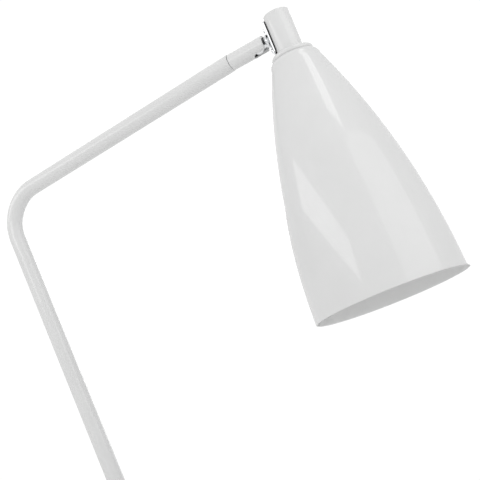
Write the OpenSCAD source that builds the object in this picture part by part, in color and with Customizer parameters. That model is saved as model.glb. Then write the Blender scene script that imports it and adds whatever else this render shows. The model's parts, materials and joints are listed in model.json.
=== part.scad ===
// Swing arm desk lamp: a weighted round base, a bent tube that swings on it, and a tall shade
// on a slotted ball swivel. Millimetres, +Z up, origin at the middle of the base's underside.
// The arm lies in the XZ plane and the shade is on the +X side.

/* [Arm] */
// Outside diameter of the bent tube
tube_d = 16; // [13:0.5:20]
// Wall of the bent tube
tube_wall = 1.2; // [0.8:0.1:1.6]
// Stem centreline, from its foot to the corner where the two centrelines meet
stem_len = 345; // [240:1:450]
// Arm centreline, from that corner to the ball
arm_len = 313; // [200:1:420]
// Lean of the stem from the vertical, degrees
stem_lean = 27.4; // [15:0.1:35]
// Rise of the arm above the horizontal, degrees
arm_rise = 24.8; // [5:0.1:40]
// Centreline radius of the bend
bend_r = 38; // [25:1:70]

/* [Swivel] */
// Diameter of the ball
ball_d = 12.6; // [11:0.1:15]
// Wall of the swivel sleeve round the ball
collar_wall = 1.3; // [1.2:0.05:2.5]
// Droop of the sleeve below the arm's line, degrees
collar_droop = 2.7; // [0:0.1:4]
// Sleeve behind the ball's centre
collar_back = 28.1; // [26:0.1:40]
// Sleeve in front of the ball's centre
collar_front = 7.8; // [6:0.1:9]
// Radius of the opening that keeps the ball in
mouth_r = 5.9; // [5.6:0.1:6.2]
// Rounding of the sleeve's front edge
mouth_edge = 1.8; // [0.5:0.1:2]
// Radius of the ball's neck
neck_r = 4; // [3.4:0.1:4.2]
// Radius of the shoulder that the neck flares to
shoulder_r = 6.3; // [5:0.1:7]
// Bore through the ball and its stud, for the lead
stud_bore = 5; // [3:0.1:5.4]
// Slot wider than the neck, on each side
slot_gap = 0.6; // [0.4:0.1:1]

/* [Head] */
// From the ball's centre to the head's axis
head_offset = 27; // [25:0.5:34]
// Lean of the head's axis from the vertical, degrees
head_lean = 23.2; // [0:0.1:40]
// Diameter of the cap
cap_d = 24; // [22:0.5:30]
// Length of the cap
cap_len = 38.9; // [34:0.1:50]
// Middle of the cap below the stud
cap_drop = 1; // [0:0.1:1.5]
// Wall of the cap
cap_wall = 1.2; // [0.8:0.1:1.6]
// Diameter of the stepped ring
ring_d = 39; // [34:0.1:46]
// Height of the stepped ring
ring_h = 5.5; // [5:0.1:8]
// Rounding of the stepped ring's edge
ring_edge = 2.4; // [0.5:0.1:2.4]
// Height of the shade
shade_h = 221.7; // [180:0.1:300]
// Radius of the shade's wall at its shoulder
shade_top_r = 24; // [21:0.1:30]
// Radius of the shade at its rim
shade_rim_r = 67; // [50:0.5:90]
// How far the wall bulges past a straight cone
shade_bulge = 10; // [2:0.5:14]
// Wall of the shade
shade_wall = 0.8; // [0.6:0.1:1.6]
// Length of the saddle plate along the cap
saddle_len = 31.5; // [28:0.5:34]
// Half of the saddle plate's wrap round the cap, degrees
saddle_wrap = 38; // [36:1:60]
// Thickness of the saddle plate
saddle_t = 1.3; // [1:0.1:2]
// Thickness of the gasket under the saddle plate
gasket_t = 1.2; // [0.3:0.1:1.5]
// Distance of each saddle screw from the stud
saddle_pitch = 10.2; // [10:0.1:12]

/* [Lamp holder and bulb] */
// Outside diameter of the lamp holder
holder_d = 35; // [33:0.5:38]
// Length of the lamp holder
holder_len = 56; // [50:1:64]
// Diameter of the bulb's glass
bulb_d = 60; // [45:1:70]
// Length of the bulb with its screw cap
bulb_len = 108; // [95:1:120]

/* [Base] */
// Diameter of the base
base_d = 190; // [150:1:240]
// Height of the base cover above the table
base_h = 22; // [20:0.5:30]
// Wall of the base cover
cover_wall = 1.2; // [0.8:0.1:2]
// Rounding of the cover's top edge
cover_edge = 5; // [3:0.5:5]
// Diameter of the iron weight
weight_d = 156; // [130:1:180]
// Thickness of the foot pad
pad_t = 2; // [1:0.5:4]
// Thickness of the bottom plate
plate_t = 1.5; // [1:0.1:3]
// Half of the arm's swing on the base, degrees
swing_half = 150; // [60:5:160]
// Diameter of the cord's hole through the gland
gland_bore = 6.6; // [5:0.1:8]

/* [Hub] */
// Diameter of the hub
hub_d = 52; // [48:1:70]
// Depth of the stem in the hub's socket
socket_len = 28; // [20:1:40]
// Wall of the socket round the stem
socket_wall = 4.6; // [3:0.1:6]
// Diameter of the hollow spindle
spindle_d = 12; // [11:0.5:14]
// Bore of the hollow spindle
spindle_bore = 7; // [6:0.1:8]

/* [Switch] */
// Diameter of the switch button
button_d = 12; // [9:0.5:16]
// Travel of the switch button
button_travel = 2.5; // [1.5:0.1:4]
// Distance of the switch from the middle of the base
switch_x = 58; // [50:1:62]

/* [Clearances] */
// Radial play of a shaft that turns in its hole
run_fit = 0.05; // [0.02:0.01:0.1]
// Gap between flat faces that turn past each other
face_gap = 0.1; // [0.05:0.05:0.3]
// Gap between pieces that are assembled but don't move
seat_gap = 0.05; // [0.02:0.01:0.1]
// Gap between pieces of different bodies that only pass each other
free_gap = 0.35; // [0.3:0.05:0.6]

/* [Hidden] */
$fn = 96;

white = [0.94, 0.94, 0.93];
chrome = [0.82, 0.83, 0.85];
steel = [0.62, 0.63, 0.65];
brass = [0.80, 0.65, 0.30];
iron = [0.28, 0.28, 0.30];
black = [0.08, 0.08, 0.09];
nylon = [0.88, 0.87, 0.82];
lead_colour = [0.85, 0.85, 0.85];

overcut = 1;
lead_d = 2.4;

// Small measures of the hardware
thread_gap = 0.1;
hex_over = 4;

// Base levels, from the table up
plate_z = pad_t;
weight_z = pad_t + plate_t;
skirt_z = 0.8;
pad_inset = 6;
plate_inset = 0.8;
plate_hole_r = 6;
screw_head_d = 7.5;
screw_head_h = 1.5;
screw_key = 2.4;
screw_d = 4;
screw_len = 10;
screw_inset = 14;
screw_hole_d = 4.4;
screw_pad_gap = 1;
ceiling_z = base_h - cover_wall;
bush_flange_t = 3.5;
weight_top = ceiling_z - bush_flange_t;
bush_d = 20;
bush_flange_d = 32;
nut_t = 4.5;
spring_washer_t = 1.4;
nut_af = 18;
nut_pocket_d = 34;
bush_z = weight_z + 10.5;
spring_washer_z = bush_z - face_gap - spring_washer_t;
spindle_nut_z = spring_washer_z - nut_t;
spindle_z = spindle_nut_z - 0.6;

// Hub levels
washer_t = 1;
washer_r = 14;
washer_play = 0.2;
washer_z = base_h + face_gap;
hub_z = washer_z + washer_t;
hub_rim_h = 4;
hub_cone_h = 6;
foot_z = hub_z + 12;
socket_d = tube_d + 2 * seat_gap;
boss_d = tube_d + 2 * socket_wall;
stop_d = 4;
stop_r = 19;
stop_h = 2.6;
stop_margin = 9;
boss_root = 20;
boss_flare = 4;
spindle_grip = 7.4;
spindle_tip_gap = 0.3;
spring_washer_r = 10;
set_screw_d = 5;
set_screw_up = 14;
set_screw_key = 2.5;
set_screw_key_depth = 1.8;
set_screw_sunk = 0.6;

// The bend, in the XZ plane
corner = [-stem_len * sin(stem_lean), 0, foot_z + stem_len * cos(stem_lean)];
turn = 90 + stem_lean - arm_rise;
bend_tangent = bend_r * tan(turn / 2);
tube_bore = tube_d - 2 * tube_wall;
bend_lap = 0.05;
bend_swell = 0.02;
arm_way = [cos(arm_rise), 0, sin(arm_rise)];
collar_rise = arm_rise - collar_droop;
ball_at = corner + (arm_len - collar_back) * arm_way + collar_back * [cos(collar_rise), 0, sin(collar_rise)];
seam_gap = 0.5;
arm_end = arm_len - collar_back - seam_gap;

// The swivel, along the arm's axis from the ball's centre
ball_r = ball_d / 2;
socket_r = ball_r + 0.2;
collar_bore = 2 * socket_r;
collar_d = collar_bore + 2 * collar_wall;
spigot_d = collar_bore - 2 * run_fit;
slot_w = 2 * (neck_r + slot_gap);
slot_end = -1.1;
seat_ball_gap = 0.08;
seat_front = -4.2;
seat_back = -9.5;
seat_bore_r = 3;
disc_inner_r = 3.2;
disc_outer_r = 6.4;
disc_gap = 0.05;
disc_t = 0.6;
disc_dish = 0.7;
disc_pitch = 1.35;
disc_count = 2;
seat_nut_t = 2.5;
seat_nut_bore_r = 2.6;
seat_nut_z = seat_back - disc_count * disc_pitch - seat_nut_t - 0.1;
spigot_tip = seat_nut_z - 0.5;
insert_depth = 20;
insert_bore = 5;
spigot_root = 1.2;
groove_w = 3.3;
groove_depth = 1.4;
groove_margin = 17;
groove_z = (spigot_tip - collar_back) / 2;
collar_screw_d = 3;
collar_screw_key = 1.5;
collar_screw_key_depth = 1.2;
collar_screw_sunk = 0.4;
collar_turn_half = 150;

// The stud, from the ball's centre to the head's axis
cap_r = cap_d / 2;
cap_bore_r = cap_r - cap_wall;
saddle_in_r = cap_r + gasket_t;
saddle_out_r = saddle_in_r + saddle_t;
shoulder_x = head_offset - saddle_out_r - face_gap;
stud_d = 8;
shoulder_t = 1.4;
flare_h = 2.6;
saddle_washer_t = 3.1;
saddle_washer_face = head_offset - cap_bore_r + saddle_washer_t;
saddle_washer_d = 13;
stud_washer_r = 6.2;
stud_washer_t = 1;
stud_nut_t = 3.6;
stud_nut_af = 13;
stud_washer_x = saddle_washer_face + face_gap;
stud_nut_x = stud_washer_x + stud_washer_t;
stud_end = stud_nut_x + stud_nut_t + 0.6;
saddle_screw_d = 3;
saddle_head_d = 5.4;
saddle_head_h = 2.2;
saddle_key = 2;
saddle_key_depth = 1.3;
saddle_screw_tip_r = 9;
gasket_gap = 0.02;

// The head, along its axis from the cap's lower end
stud_s = -cap_len / 2 - cap_drop;
cap_floor_t = 3;
lid_t = 2.5;
shade_top = ring_h;
rim_s = shade_top + shade_h;
shoulder_drop = 6;
shade_chord = norm([rim_s - shade_top - shoulder_drop, shade_rim_r - shade_top_r]);
shade_arc_r = (shade_chord * shade_chord / 4 + shade_bulge * shade_bulge) / (2 * shade_bulge);
shoulder_edge = 4;
nipple_d = 10;
nipple_bore = 6.5;
nipple_nut_t = 3.5;
nipple_nut_af = 14;
nipple_top = -(cap_floor_t + nipple_nut_t + 0.8);
holder_top = shade_top + shade_wall + 0.1;
holder_cap_h = 14;
holder_cone_h = 4;
holder_floor_t = 8;
nipple_end = holder_top + holder_floor_t + 1;
holder_wall = 2.2;
holder_end = holder_top + holder_len;
core_t = 8;
core_bore_r = 2.2;
core_pin_d = 3;
core_pin_x = 8;
core_s = holder_top + holder_cap_h + 0.1;
contact_s = core_s + core_t;
contact_h = 4;
contact_w = 6;
blade_t = 1.2;
blade_w = 5;
head_lead_back = 6;
bulb_cap_r = 13.1;
bulb_cap_len = 24;
bulb_cone_h = 4;
bulb_cone_r = 6;
bulb_tip_h = 1;
bulb_tip_r = 4.5;
glass_gap = 0.05;
bulb_s = contact_s + contact_h + 0.2;
bulb_tip_s = bulb_s + bulb_len;
bulb_neck_s = bulb_s + bulb_cap_len;
bulb_neck_r = 12.6;
bulb_wall = 1;
bulb_neck_angle = 28;

// The switch and the terminals
switch_hole_d = button_d + 8;
bezel_h = 2;
bezel_d = switch_hole_d + 5;
bezel_step = 0.6;
button_proud = 3.4;
switch_floor = weight_z + 1;
button_shank_r = button_d / 2 - 2;
button_foot = base_h - 6;
button_deck = base_h - 2.6;
switch_pocket_d = switch_hole_d + 6;
switch_body_gap = 0.4;
button_over_travel = 0.6;
terminal_x = -50;
terminal_size = [22, 18, 11];
terminal_pocket = [30, 24];
barrel_d = 5;
barrel_bore = 3;
barrel_pitch = 8.5;
barrel_len = 18;
barrel_up = 4.2;
terminal_screw_d = 2.6;
terminal_screw_pitch = 11;
terminal_screw_z = 0.6;
terminal_screw_len = 5.4;
channel_w = 9;
channel_h = 5.5;
lead_z = weight_z + 2;
lead_bend = 4.5;
lead_rise = 4;
lead_start_x = terminal_x + 13;
lead_break = 0.6;
collar_lead_short = 3.6;
stud_lead_back = 2.4;
gland_z = 10.5;
gland_body_d = gland_bore + 3.4;
gland_flange_d = gland_body_d + 3;
gland_flange_t = 2;
gland_len = 9;
gland_nut_t = 3;
gland_nut_af = gland_body_d + 3;
gland_nut_off = 0.45;

// Frames that the pieces are drawn in
module at_foot() { translate([0, 0, foot_z]) rotate([0, -stem_lean, 0]) children(); }
module at_corner() { translate(corner) rotate([0, 90 - arm_rise, 0]) children(); }
module at_ball() { translate(ball_at) rotate([0, 90 - collar_rise, 0]) children(); }
module at_stud() { translate(ball_at) rotate([0, 90 - head_lean, 0]) children(); }
module at_neck() {
    translate(ball_at) rotate([0, -head_lean, 0])
        translate([head_offset, 0, stud_s]) mirror([0, 0, 1]) children();
}

// A ring from z to z + h
module ring(outer_r, inner_r, z, h) {
    translate([0, 0, z]) difference() {
        cylinder(r = outer_r, h = h);
        translate([0, 0, -overcut]) cylinder(r = inner_r, h = h + 2 * overcut);
    }
}

// A hexagon nut with a round hole
module nut(across_flats, hole_d, z, h) {
    translate([0, 0, z]) difference() {
        cylinder(d = across_flats / cos(30), h = h, $fn = 6);
        translate([0, 0, -overcut]) cylinder(d = hole_d, h = h + 2 * overcut);
    }
}

// The bent path, with a round section, from a start on the stem to an end on the arm.
// The straights run a little way into the bend, whose section is a hair thicker.
module bent_rod(r, bore_r, from, to) {
    straight = bend_tangent - bend_lap;
    at_foot() translate([0, 0, from]) linear_extrude(stem_len - straight - from) round_section(r, bore_r);
    at_corner() translate([0, 0, straight]) linear_extrude(to - straight) round_section(r, bore_r);
    at_corner() translate([bend_r, 0, bend_tangent]) rotate([90, 0, 0]) rotate([0, 0, 180])
        rotate_extrude(angle = turn) translate([bend_r, 0])
            round_section(r + bend_swell, bore_r > 0 ? bore_r - bend_swell : 0);
}

module round_section(r, bore_r) {
    difference() {
        circle(r = r);
        if (bore_r > 0) circle(r = bore_r);
    }
}

// Base
module foot_pad() {
    color(black) difference() {
        cylinder(r = base_d / 2 - pad_inset, h = pad_t);
        plate_screw_holes(-overcut, pad_t + 2 * overcut, screw_head_d + screw_pad_gap);
    }
}

module bottom_plate() {
    color(steel) difference() {
        ring(base_d / 2 - cover_wall - plate_inset, plate_hole_r, plate_z, plate_t);
        plate_screw_holes(plate_z - overcut, plate_t + 2 * overcut, screw_hole_d);
    }
}

module plate_screw_places() {
    for (a = [60, 180, 300]) rotate([0, 0, a]) translate([weight_d / 2 - screw_inset, 0, 0])
        rotate([0, 0, -a]) children();
}

module plate_screw_holes(z, h, d) {
    plate_screw_places() translate([0, 0, z]) cylinder(d = d, h = h);
}

module plate_screws() {
    color(steel) plate_screw_places() difference() {
        union() {
            translate([0, 0, plate_z - screw_head_h]) cylinder(d = screw_head_d, h = screw_head_h);
            translate([0, 0, plate_z - thread_gap]) cylinder(d = screw_d, h = screw_len);
        }
        translate([0, 0, 0]) cylinder(d = screw_key / cos(30), h = screw_head_h, $fn = 6);
    }
}

module base_weight() {
    color(iron) difference() {
        ring(weight_d / 2, bush_d / 2 + seat_gap, weight_z, weight_top - weight_z);
        translate([0, 0, weight_z - overcut]) cylinder(d = nut_pocket_d, h = bush_z - weight_z + overcut);
        plate_screw_holes(weight_z - overcut, screw_len + overcut, screw_d + 2 * seat_gap);
        translate([switch_x, 0, weight_z - overcut]) cylinder(d = switch_pocket_d, h = base_h);
        translate([terminal_x - terminal_pocket[0] / 2, -terminal_pocket[1] / 2, weight_z - overcut])
            cube([terminal_pocket[0], terminal_pocket[1], base_h]);
        translate([-weight_d / 2 - overcut, -channel_w / 2, weight_z - overcut])
            cube([weight_d / 2 + switch_x, channel_w, channel_h + overcut]);
        translate([-weight_d / 2 - overcut, -channel_w / 2, weight_z - overcut])
            cube([weight_d / 2 + terminal_x, channel_w, base_h]);
    }
}

// Half of the cover's section, drawn in by an inset
module cover_section(inset) {
    r = base_d / 2 - inset;
    h = base_h - inset;
    edge = cover_edge - inset;
    square([r - edge, h]);
    square([r, h - edge]);
    translate([r - edge, h - edge]) circle(r = edge);
}

module base_cover() {
    color(white) difference() {
        rotate_extrude() difference() {
            intersection() {
                cover_section(0);
                translate([0, skirt_z]) square([base_d, base_h]);
            }
            cover_section(cover_wall);
        }
        translate([0, 0, ceiling_z - overcut])
            cylinder(d = bush_d + 2 * seat_gap, h = cover_wall + 2 * overcut);
        translate([switch_x, 0, ceiling_z - overcut])
            cylinder(d = switch_hole_d, h = cover_wall + 2 * overcut);
        translate([stop_r, 0, ceiling_z - overcut])
            cylinder(d = stop_d + 2 * seat_gap, h = cover_wall + 2 * overcut);
        translate([-base_d / 2 - overcut, 0, gland_z]) rotate([0, 90, 0])
            cylinder(d = gland_body_d + 2 * seat_gap, h = cover_wall + 2 * overcut);
    }
}

module pivot_bush() {
    color(brass) difference() {
        union() {
            translate([0, 0, bush_z]) cylinder(d = bush_d, h = base_h - bush_z);
            translate([0, 0, weight_top]) cylinder(d = bush_flange_d, h = bush_flange_t);
        }
        translate([0, 0, bush_z - overcut]) cylinder(d = spindle_d + 2 * run_fit, h = base_h);
        translate([stop_r, 0, weight_top - overcut]) cylinder(d = stop_d + 2 * overcut, h = base_h);
    }
}

module swing_stop() {
    color(steel) translate([stop_r, 0, weight_top]) cylinder(d = stop_d, h = base_h + stop_h - weight_top);
}

module cord_gland() {
    color(black) translate([-base_d / 2 - gland_flange_t, 0, gland_z]) rotate([0, 90, 0]) difference() {
        union() {
            cylinder(d = gland_flange_d, h = gland_flange_t);
            cylinder(d = gland_body_d, h = gland_flange_t + gland_len);
        }
        translate([0, 0, -overcut]) cylinder(d = gland_bore, h = gland_len + gland_flange_t + 2 * overcut);
    }
}

module gland_nut() {
    color(black) translate([-base_d / 2 + cover_wall + gland_nut_off, 0, gland_z])
        rotate([0, 90, 0]) rotate([0, 0, 30])
        nut(gland_nut_af, gland_body_d + 2 * seat_gap, 0, gland_nut_t);
}

// Places of the two terminal barrels, and of their screws
module barrel_places() {
    for (side = [-1, 1]) translate([terminal_x, side * barrel_pitch / 2, weight_z + barrel_up]) children();
}

module terminal_block() {
    color(nylon) difference() {
        translate([terminal_x - terminal_size[0] / 2, -terminal_size[1] / 2, weight_z])
            cube(terminal_size);
        barrel_places() rotate([0, 90, 0])
            cylinder(d = barrel_d + 2 * seat_gap, h = terminal_size[0] + 2 * overcut, center = true);
        terminal_screw_places() cylinder(d = terminal_screw_d + 1, h = terminal_size[2]);
    }
}

module terminal_screw_places() {
    barrel_places() for (end = [-1, 1]) translate([end * terminal_screw_pitch / 2, 0, 0]) children();
}

module terminal_barrels() {
    color(brass) difference() {
        barrel_places() rotate([0, 90, 0]) ring(barrel_d / 2, barrel_bore / 2, -barrel_len / 2, barrel_len);
        terminal_screw_places() cylinder(d = terminal_screw_d + 2 * seat_gap, h = barrel_d);
    }
}

module terminal_screws() {
    color(steel) terminal_screw_places() translate([0, 0, terminal_screw_z])
        cylinder(d = terminal_screw_d, h = terminal_screw_len);
}

module switch_body() {
    color(black) translate([switch_x, 0, 0]) difference() {
        translate([0, 0, switch_floor])
            cylinder(d = switch_hole_d - switch_body_gap, h = base_h - switch_floor);
        translate([0, 0, button_foot - button_travel - button_over_travel])
            cylinder(r = button_shank_r + free_gap, h = base_h);
        translate([0, 0, button_deck - button_travel - button_over_travel])
            cylinder(r = button_d / 2 + free_gap, h = base_h);
    }
}

module switch_bezel() {
    color(black) translate([switch_x, 0, 0]) difference() {
        union() {
            ring(bezel_d / 2, button_d / 2 + run_fit, base_h, bezel_h - bezel_step);
            ring(bezel_d / 2 - bezel_step, button_d / 2 + run_fit, base_h, bezel_h);
        }
    }
}

module switch_button() {
    color(white) translate([switch_x, 0, 0]) {
        translate([0, 0, button_deck])
            cylinder(d = button_d, h = base_h + bezel_h + button_proud - button_deck);
        translate([0, 0, button_foot]) cylinder(r = button_shank_r, h = base_h - button_foot);
    }
}

module base_lead() {
    color(lead_colour) {
        translate([lead_start_x, 0, lead_z]) rotate([0, 90, 0])
            cylinder(d = lead_d, h = -lead_start_x - lead_bend);
        translate([-lead_bend, 0, lead_z + lead_bend]) rotate([90, 0, 0]) rotate([0, 0, -90])
            rotate_extrude(angle = 90) translate([lead_bend, 0]) circle(d = lead_d);
        translate([0, 0, lead_z + lead_bend]) cylinder(d = lead_d, h = lead_rise);
    }
}

// Hub
module hub() {
    color(white) difference() {
        union() {
            translate([0, 0, hub_z]) cylinder(d = hub_d, h = hub_rim_h);
            translate([0, 0, hub_z + hub_rim_h])
                cylinder(d1 = hub_d, d2 = boss_d + boss_flare, h = hub_cone_h);
            intersection() {
                at_foot() translate([0, 0, -boss_root]) cylinder(d = boss_d, h = boss_root + socket_len);
                translate([-hub_d, -hub_d, hub_z]) cube([2 * hub_d, 2 * hub_d, stem_len]);
            }
        }
        at_foot() cylinder(d = socket_d, h = socket_len + overcut);
        translate([0, 0, hub_z - overcut]) cylinder(d = spindle_d + 2 * seat_gap, h = spindle_grip + overcut);
        translate([0, 0, hub_z]) cylinder(d = spindle_bore, h = foot_z - hub_z + 2);
        at_foot() set_screw_place() cylinder(d = set_screw_d + 2 * seat_gap, h = boss_d);
        translate([0, 0, hub_z - overcut]) rotate([0, 0, -swing_half - stop_margin])
            rotate_extrude(angle = 2 * (swing_half + stop_margin))
                translate([stop_r - stop_d / 2 - free_gap, 0])
                    square([stop_d + 2 * free_gap, stop_h + overcut]);
    }
}

module set_screw_place() { translate([0, 0, set_screw_up]) rotate([0, -90, 0]) children(); }

module set_screw() {
    color(steel) at_foot() set_screw_place() difference() {
        translate([0, 0, tube_d / 2 + seat_gap]) cylinder(d = set_screw_d, h = socket_wall - set_screw_sunk);
        translate([0, 0, tube_d / 2 + socket_wall - set_screw_sunk - set_screw_key_depth])
            cylinder(d = set_screw_key / cos(30), h = hex_over, $fn = 6);
    }
}

module friction_washer() {
    color(nylon) ring(washer_r, spindle_d / 2 + washer_play, washer_z, washer_t);
}

module spindle() {
    color(steel) ring(spindle_d / 2, spindle_bore / 2, spindle_z,
        hub_z + spindle_grip - spindle_tip_gap - spindle_z);
}

module spring_washer() {
    color(steel) ring(spring_washer_r, spindle_d / 2 + seat_gap, spring_washer_z, spring_washer_t);
}

module spindle_nut() {
    color(steel) nut(nut_af, spindle_d + 2 * seat_gap, spindle_nut_z, nut_t);
}

// Arm
module arm_tube() {
    color(white) bent_rod(tube_d / 2, tube_bore / 2, 0, arm_end);
}

module tip_insert() {
    color(steel) at_ball() difference() {
        union() {
            rear() cylinder(d = tube_bore - 2 * seat_gap, h = insert_depth);
            translate([0, 0, -collar_back - seam_gap - spigot_root])
                cylinder(d = spigot_d, h = collar_back + seam_gap + spigot_root + spigot_tip);
        }
        rear() translate([0, 0, -overcut]) cylinder(d = insert_bore, h = insert_depth + seam_gap + overcut);
        translate([0, 0, -collar_back - seam_gap - spigot_root])
            cylinder(d = insert_bore, h = collar_back + seam_gap + spigot_root + overcut);
        translate([0, 0, groove_z - groove_w / 2]) rotate([0, 0, 90 - collar_turn_half - groove_margin])
            rotate_extrude(angle = 2 * (collar_turn_half + groove_margin))
                translate([spigot_d / 2 - groove_depth, 0]) square([groove_depth + overcut, groove_w]);
    }
}

// The tube's end, turned back from the sleeve's frame to the arm's line
module rear() {
    translate([0, 0, -collar_back]) rotate([0, -collar_droop, 0])
        translate([0, 0, -seam_gap - insert_depth]) children();
}

module arm_lead() {
    color(lead_colour) {
        translate([0, 0, lead_z + lead_bend + lead_rise + lead_break])
            cylinder(d = lead_d, h = foot_z - lead_z - lead_bend - lead_rise);
        bent_rod(lead_d / 2, 0, 0, arm_len + spigot_tip);
    }
}

// Swivel sleeve and what it holds
module swivel_collar() {
    color(white) at_ball() difference() {
        rotate_extrude() difference() {
            union() {
                translate([0, -collar_back]) square([collar_d / 2, collar_back + collar_front - mouth_edge]);
                square([collar_d / 2 - mouth_edge, collar_front]);
                translate([collar_d / 2 - mouth_edge, collar_front - mouth_edge]) circle(r = mouth_edge);
            }
            translate([0, -collar_back - overcut]) square([collar_bore / 2, collar_back + overcut]);
            square([mouth_r, collar_front + overcut]);
            intersection() {
                circle(r = socket_r);
                square([socket_r + overcut, socket_r + overcut]);
            }
        }
        translate([0, -slot_w / 2, slot_end]) cube([collar_d, slot_w, collar_front + collar_d]);
        translate([0, 0, slot_end]) rotate([0, 90, 0]) cylinder(d = slot_w, h = collar_d);
        collar_screw_place() cylinder(d = collar_screw_d + 2 * seat_gap, h = collar_d);
    }
}

module collar_screw_place() {
    translate([0, 0, groove_z]) rotate([-90, 0, 0]) children();
}

module collar_screw() {
    color(steel) at_ball() collar_screw_place() difference() {
        translate([0, 0, spigot_d / 2 - groove_depth + free_gap])
            cylinder(d = collar_screw_d,
                h = (collar_d - spigot_d) / 2 + groove_depth - free_gap - collar_screw_sunk);
        translate([0, 0, collar_d / 2 - collar_screw_sunk - collar_screw_key_depth])
            cylinder(d = collar_screw_key / cos(30), h = hex_over, $fn = 6);
    }
}

module ball_seat() {
    color(black) at_ball() difference() {
        ring(collar_bore / 2 - seat_gap, seat_bore_r, seat_back, seat_front - seat_back);
        sphere(r = ball_r + seat_ball_gap);
    }
}

module disc_springs() {
    color(steel) at_ball() for (i = [0 : disc_count - 1])
        translate([0, 0, seat_back - disc_gap - (i + 1) * disc_pitch]) rotate_extrude()
            polygon([[disc_inner_r, disc_dish], [disc_outer_r, 0],
                [disc_outer_r, disc_t], [disc_inner_r, disc_dish + disc_t]]);
}

module seat_nut() {
    color(steel) at_ball() ring(collar_bore / 2 - seat_gap, seat_nut_bore_r, seat_nut_z, seat_nut_t);
}

module collar_lead() {
    color(lead_colour) at_ball() translate([0, 0, spigot_tip + lead_break])
        cylinder(d = lead_d, h = seat_front - spigot_tip - collar_lead_short);
}

// Ball, neck and hollow stud
module swivel_ball() {
    color(chrome) at_stud() difference() {
        union() {
            sphere(r = ball_r);
            cylinder(r = neck_r, h = shoulder_x - shoulder_t);
            translate([0, 0, shoulder_x - shoulder_t - flare_h])
                cylinder(r1 = neck_r, r2 = shoulder_r, h = flare_h);
            translate([0, 0, shoulder_x - shoulder_t]) cylinder(r = shoulder_r, h = shoulder_t);
            cylinder(d = stud_d, h = stud_end);
        }
        translate([0, 0, -ball_d]) cylinder(d = stud_bore, h = ball_d + stud_end + overcut);
    }
}

module stud_washer() {
    color(steel) at_stud() ring(stud_washer_r, stud_d / 2 + seat_gap, stud_washer_x, stud_washer_t);
}

module stud_nut() {
    color(steel) at_stud() nut(stud_nut_af, stud_d + 2 * seat_gap, stud_nut_x, stud_nut_t);
}

module stud_lead() {
    color(lead_colour) at_stud() translate([0, 0, -stud_lead_back])
        cylinder(d = lead_d, h = stud_end + stud_lead_back);
}

// Head
module saddle_shell(inner_r, outer_r) {
    at_neck() translate([0, 0, stud_s - saddle_len / 2]) rotate([0, 0, 180 - saddle_wrap])
        rotate_extrude(angle = 2 * saddle_wrap) translate([inner_r, 0])
            square([outer_r - inner_r, saddle_len]);
}

module saddle_screw_places() {
    at_stud() for (side = [-1, 1]) translate([side * saddle_pitch, 0, 0]) children();
}

module saddle_plate() {
    color(chrome) difference() {
        saddle_shell(saddle_in_r, saddle_out_r);
        at_stud() cylinder(d = stud_d + 2 * run_fit, h = head_offset);
        saddle_screw_places() cylinder(d = saddle_screw_d + 2 * seat_gap, h = head_offset);
    }
}

module saddle_gasket() {
    color(black) difference() {
        saddle_shell(cap_r + gasket_gap, saddle_in_r - gasket_gap);
        at_stud() cylinder(d = stud_d + 2 * free_gap, h = head_offset);
        saddle_screw_places() cylinder(d = saddle_screw_d + 2 * seat_gap, h = head_offset);
    }
}

module saddle_screws() {
    color(chrome) saddle_screw_places() difference() {
        union() {
            translate([0, 0, head_offset - saddle_out_r - saddle_head_h])
                cylinder(d = saddle_head_d, h = saddle_head_h);
            translate([0, 0, head_offset - saddle_out_r - thread_gap])
                cylinder(d = saddle_screw_d, h = saddle_out_r - saddle_screw_tip_r + thread_gap);
        }
        translate([0, 0, head_offset - saddle_out_r - saddle_head_h - overcut])
            cylinder(d = saddle_key / cos(30), h = overcut + saddle_key_depth, $fn = 6);
    }
}

module saddle_washer() {
    color(steel) difference() {
        intersection() {
            at_stud() translate([0, 0, head_offset - cap_bore_r - overcut])
                cylinder(d = saddle_washer_d, h = saddle_washer_face - head_offset + cap_bore_r + overcut);
            at_neck() translate([0, 0, -cap_len]) cylinder(r = cap_bore_r - seat_gap, h = cap_len);
        }
        at_stud() cylinder(d = stud_d + 2 * free_gap, h = head_offset);
    }
}

module head_cap() {
    color(white) difference() {
        at_neck() difference() {
            translate([0, 0, -cap_len]) cylinder(r = cap_r, h = cap_len);
            translate([0, 0, -cap_len - overcut])
            cylinder(r = cap_bore_r, h = cap_len + overcut - cap_floor_t);
            translate([0, 0, -cap_floor_t - overcut]) cylinder(d = nipple_d + 2 * seat_gap, h = cap_len);
        }
        at_stud() cylinder(d = stud_d + 2 * free_gap, h = head_offset);
        saddle_screw_places() cylinder(d = saddle_screw_d + 2 * seat_gap, h = head_offset);
    }
}

module cap_lid() {
    color(white) at_neck() translate([0, 0, -cap_len]) cylinder(r = cap_bore_r - seat_gap, h = lid_t);
}

module neck_ring() {
    color(white) at_neck() rotate_extrude() difference() {
        union() {
            square([ring_d / 2 - ring_edge, ring_h]);
            translate([0, ring_edge]) square([ring_d / 2, ring_h - 2 * ring_edge]);
            for (z = [ring_edge, ring_h - ring_edge]) translate([ring_d / 2 - ring_edge, z]) circle(r = ring_edge);
        }
        translate([-overcut, -overcut]) square([nipple_d / 2 + seat_gap + overcut, ring_h + 2 * overcut]);
    }
}

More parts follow.
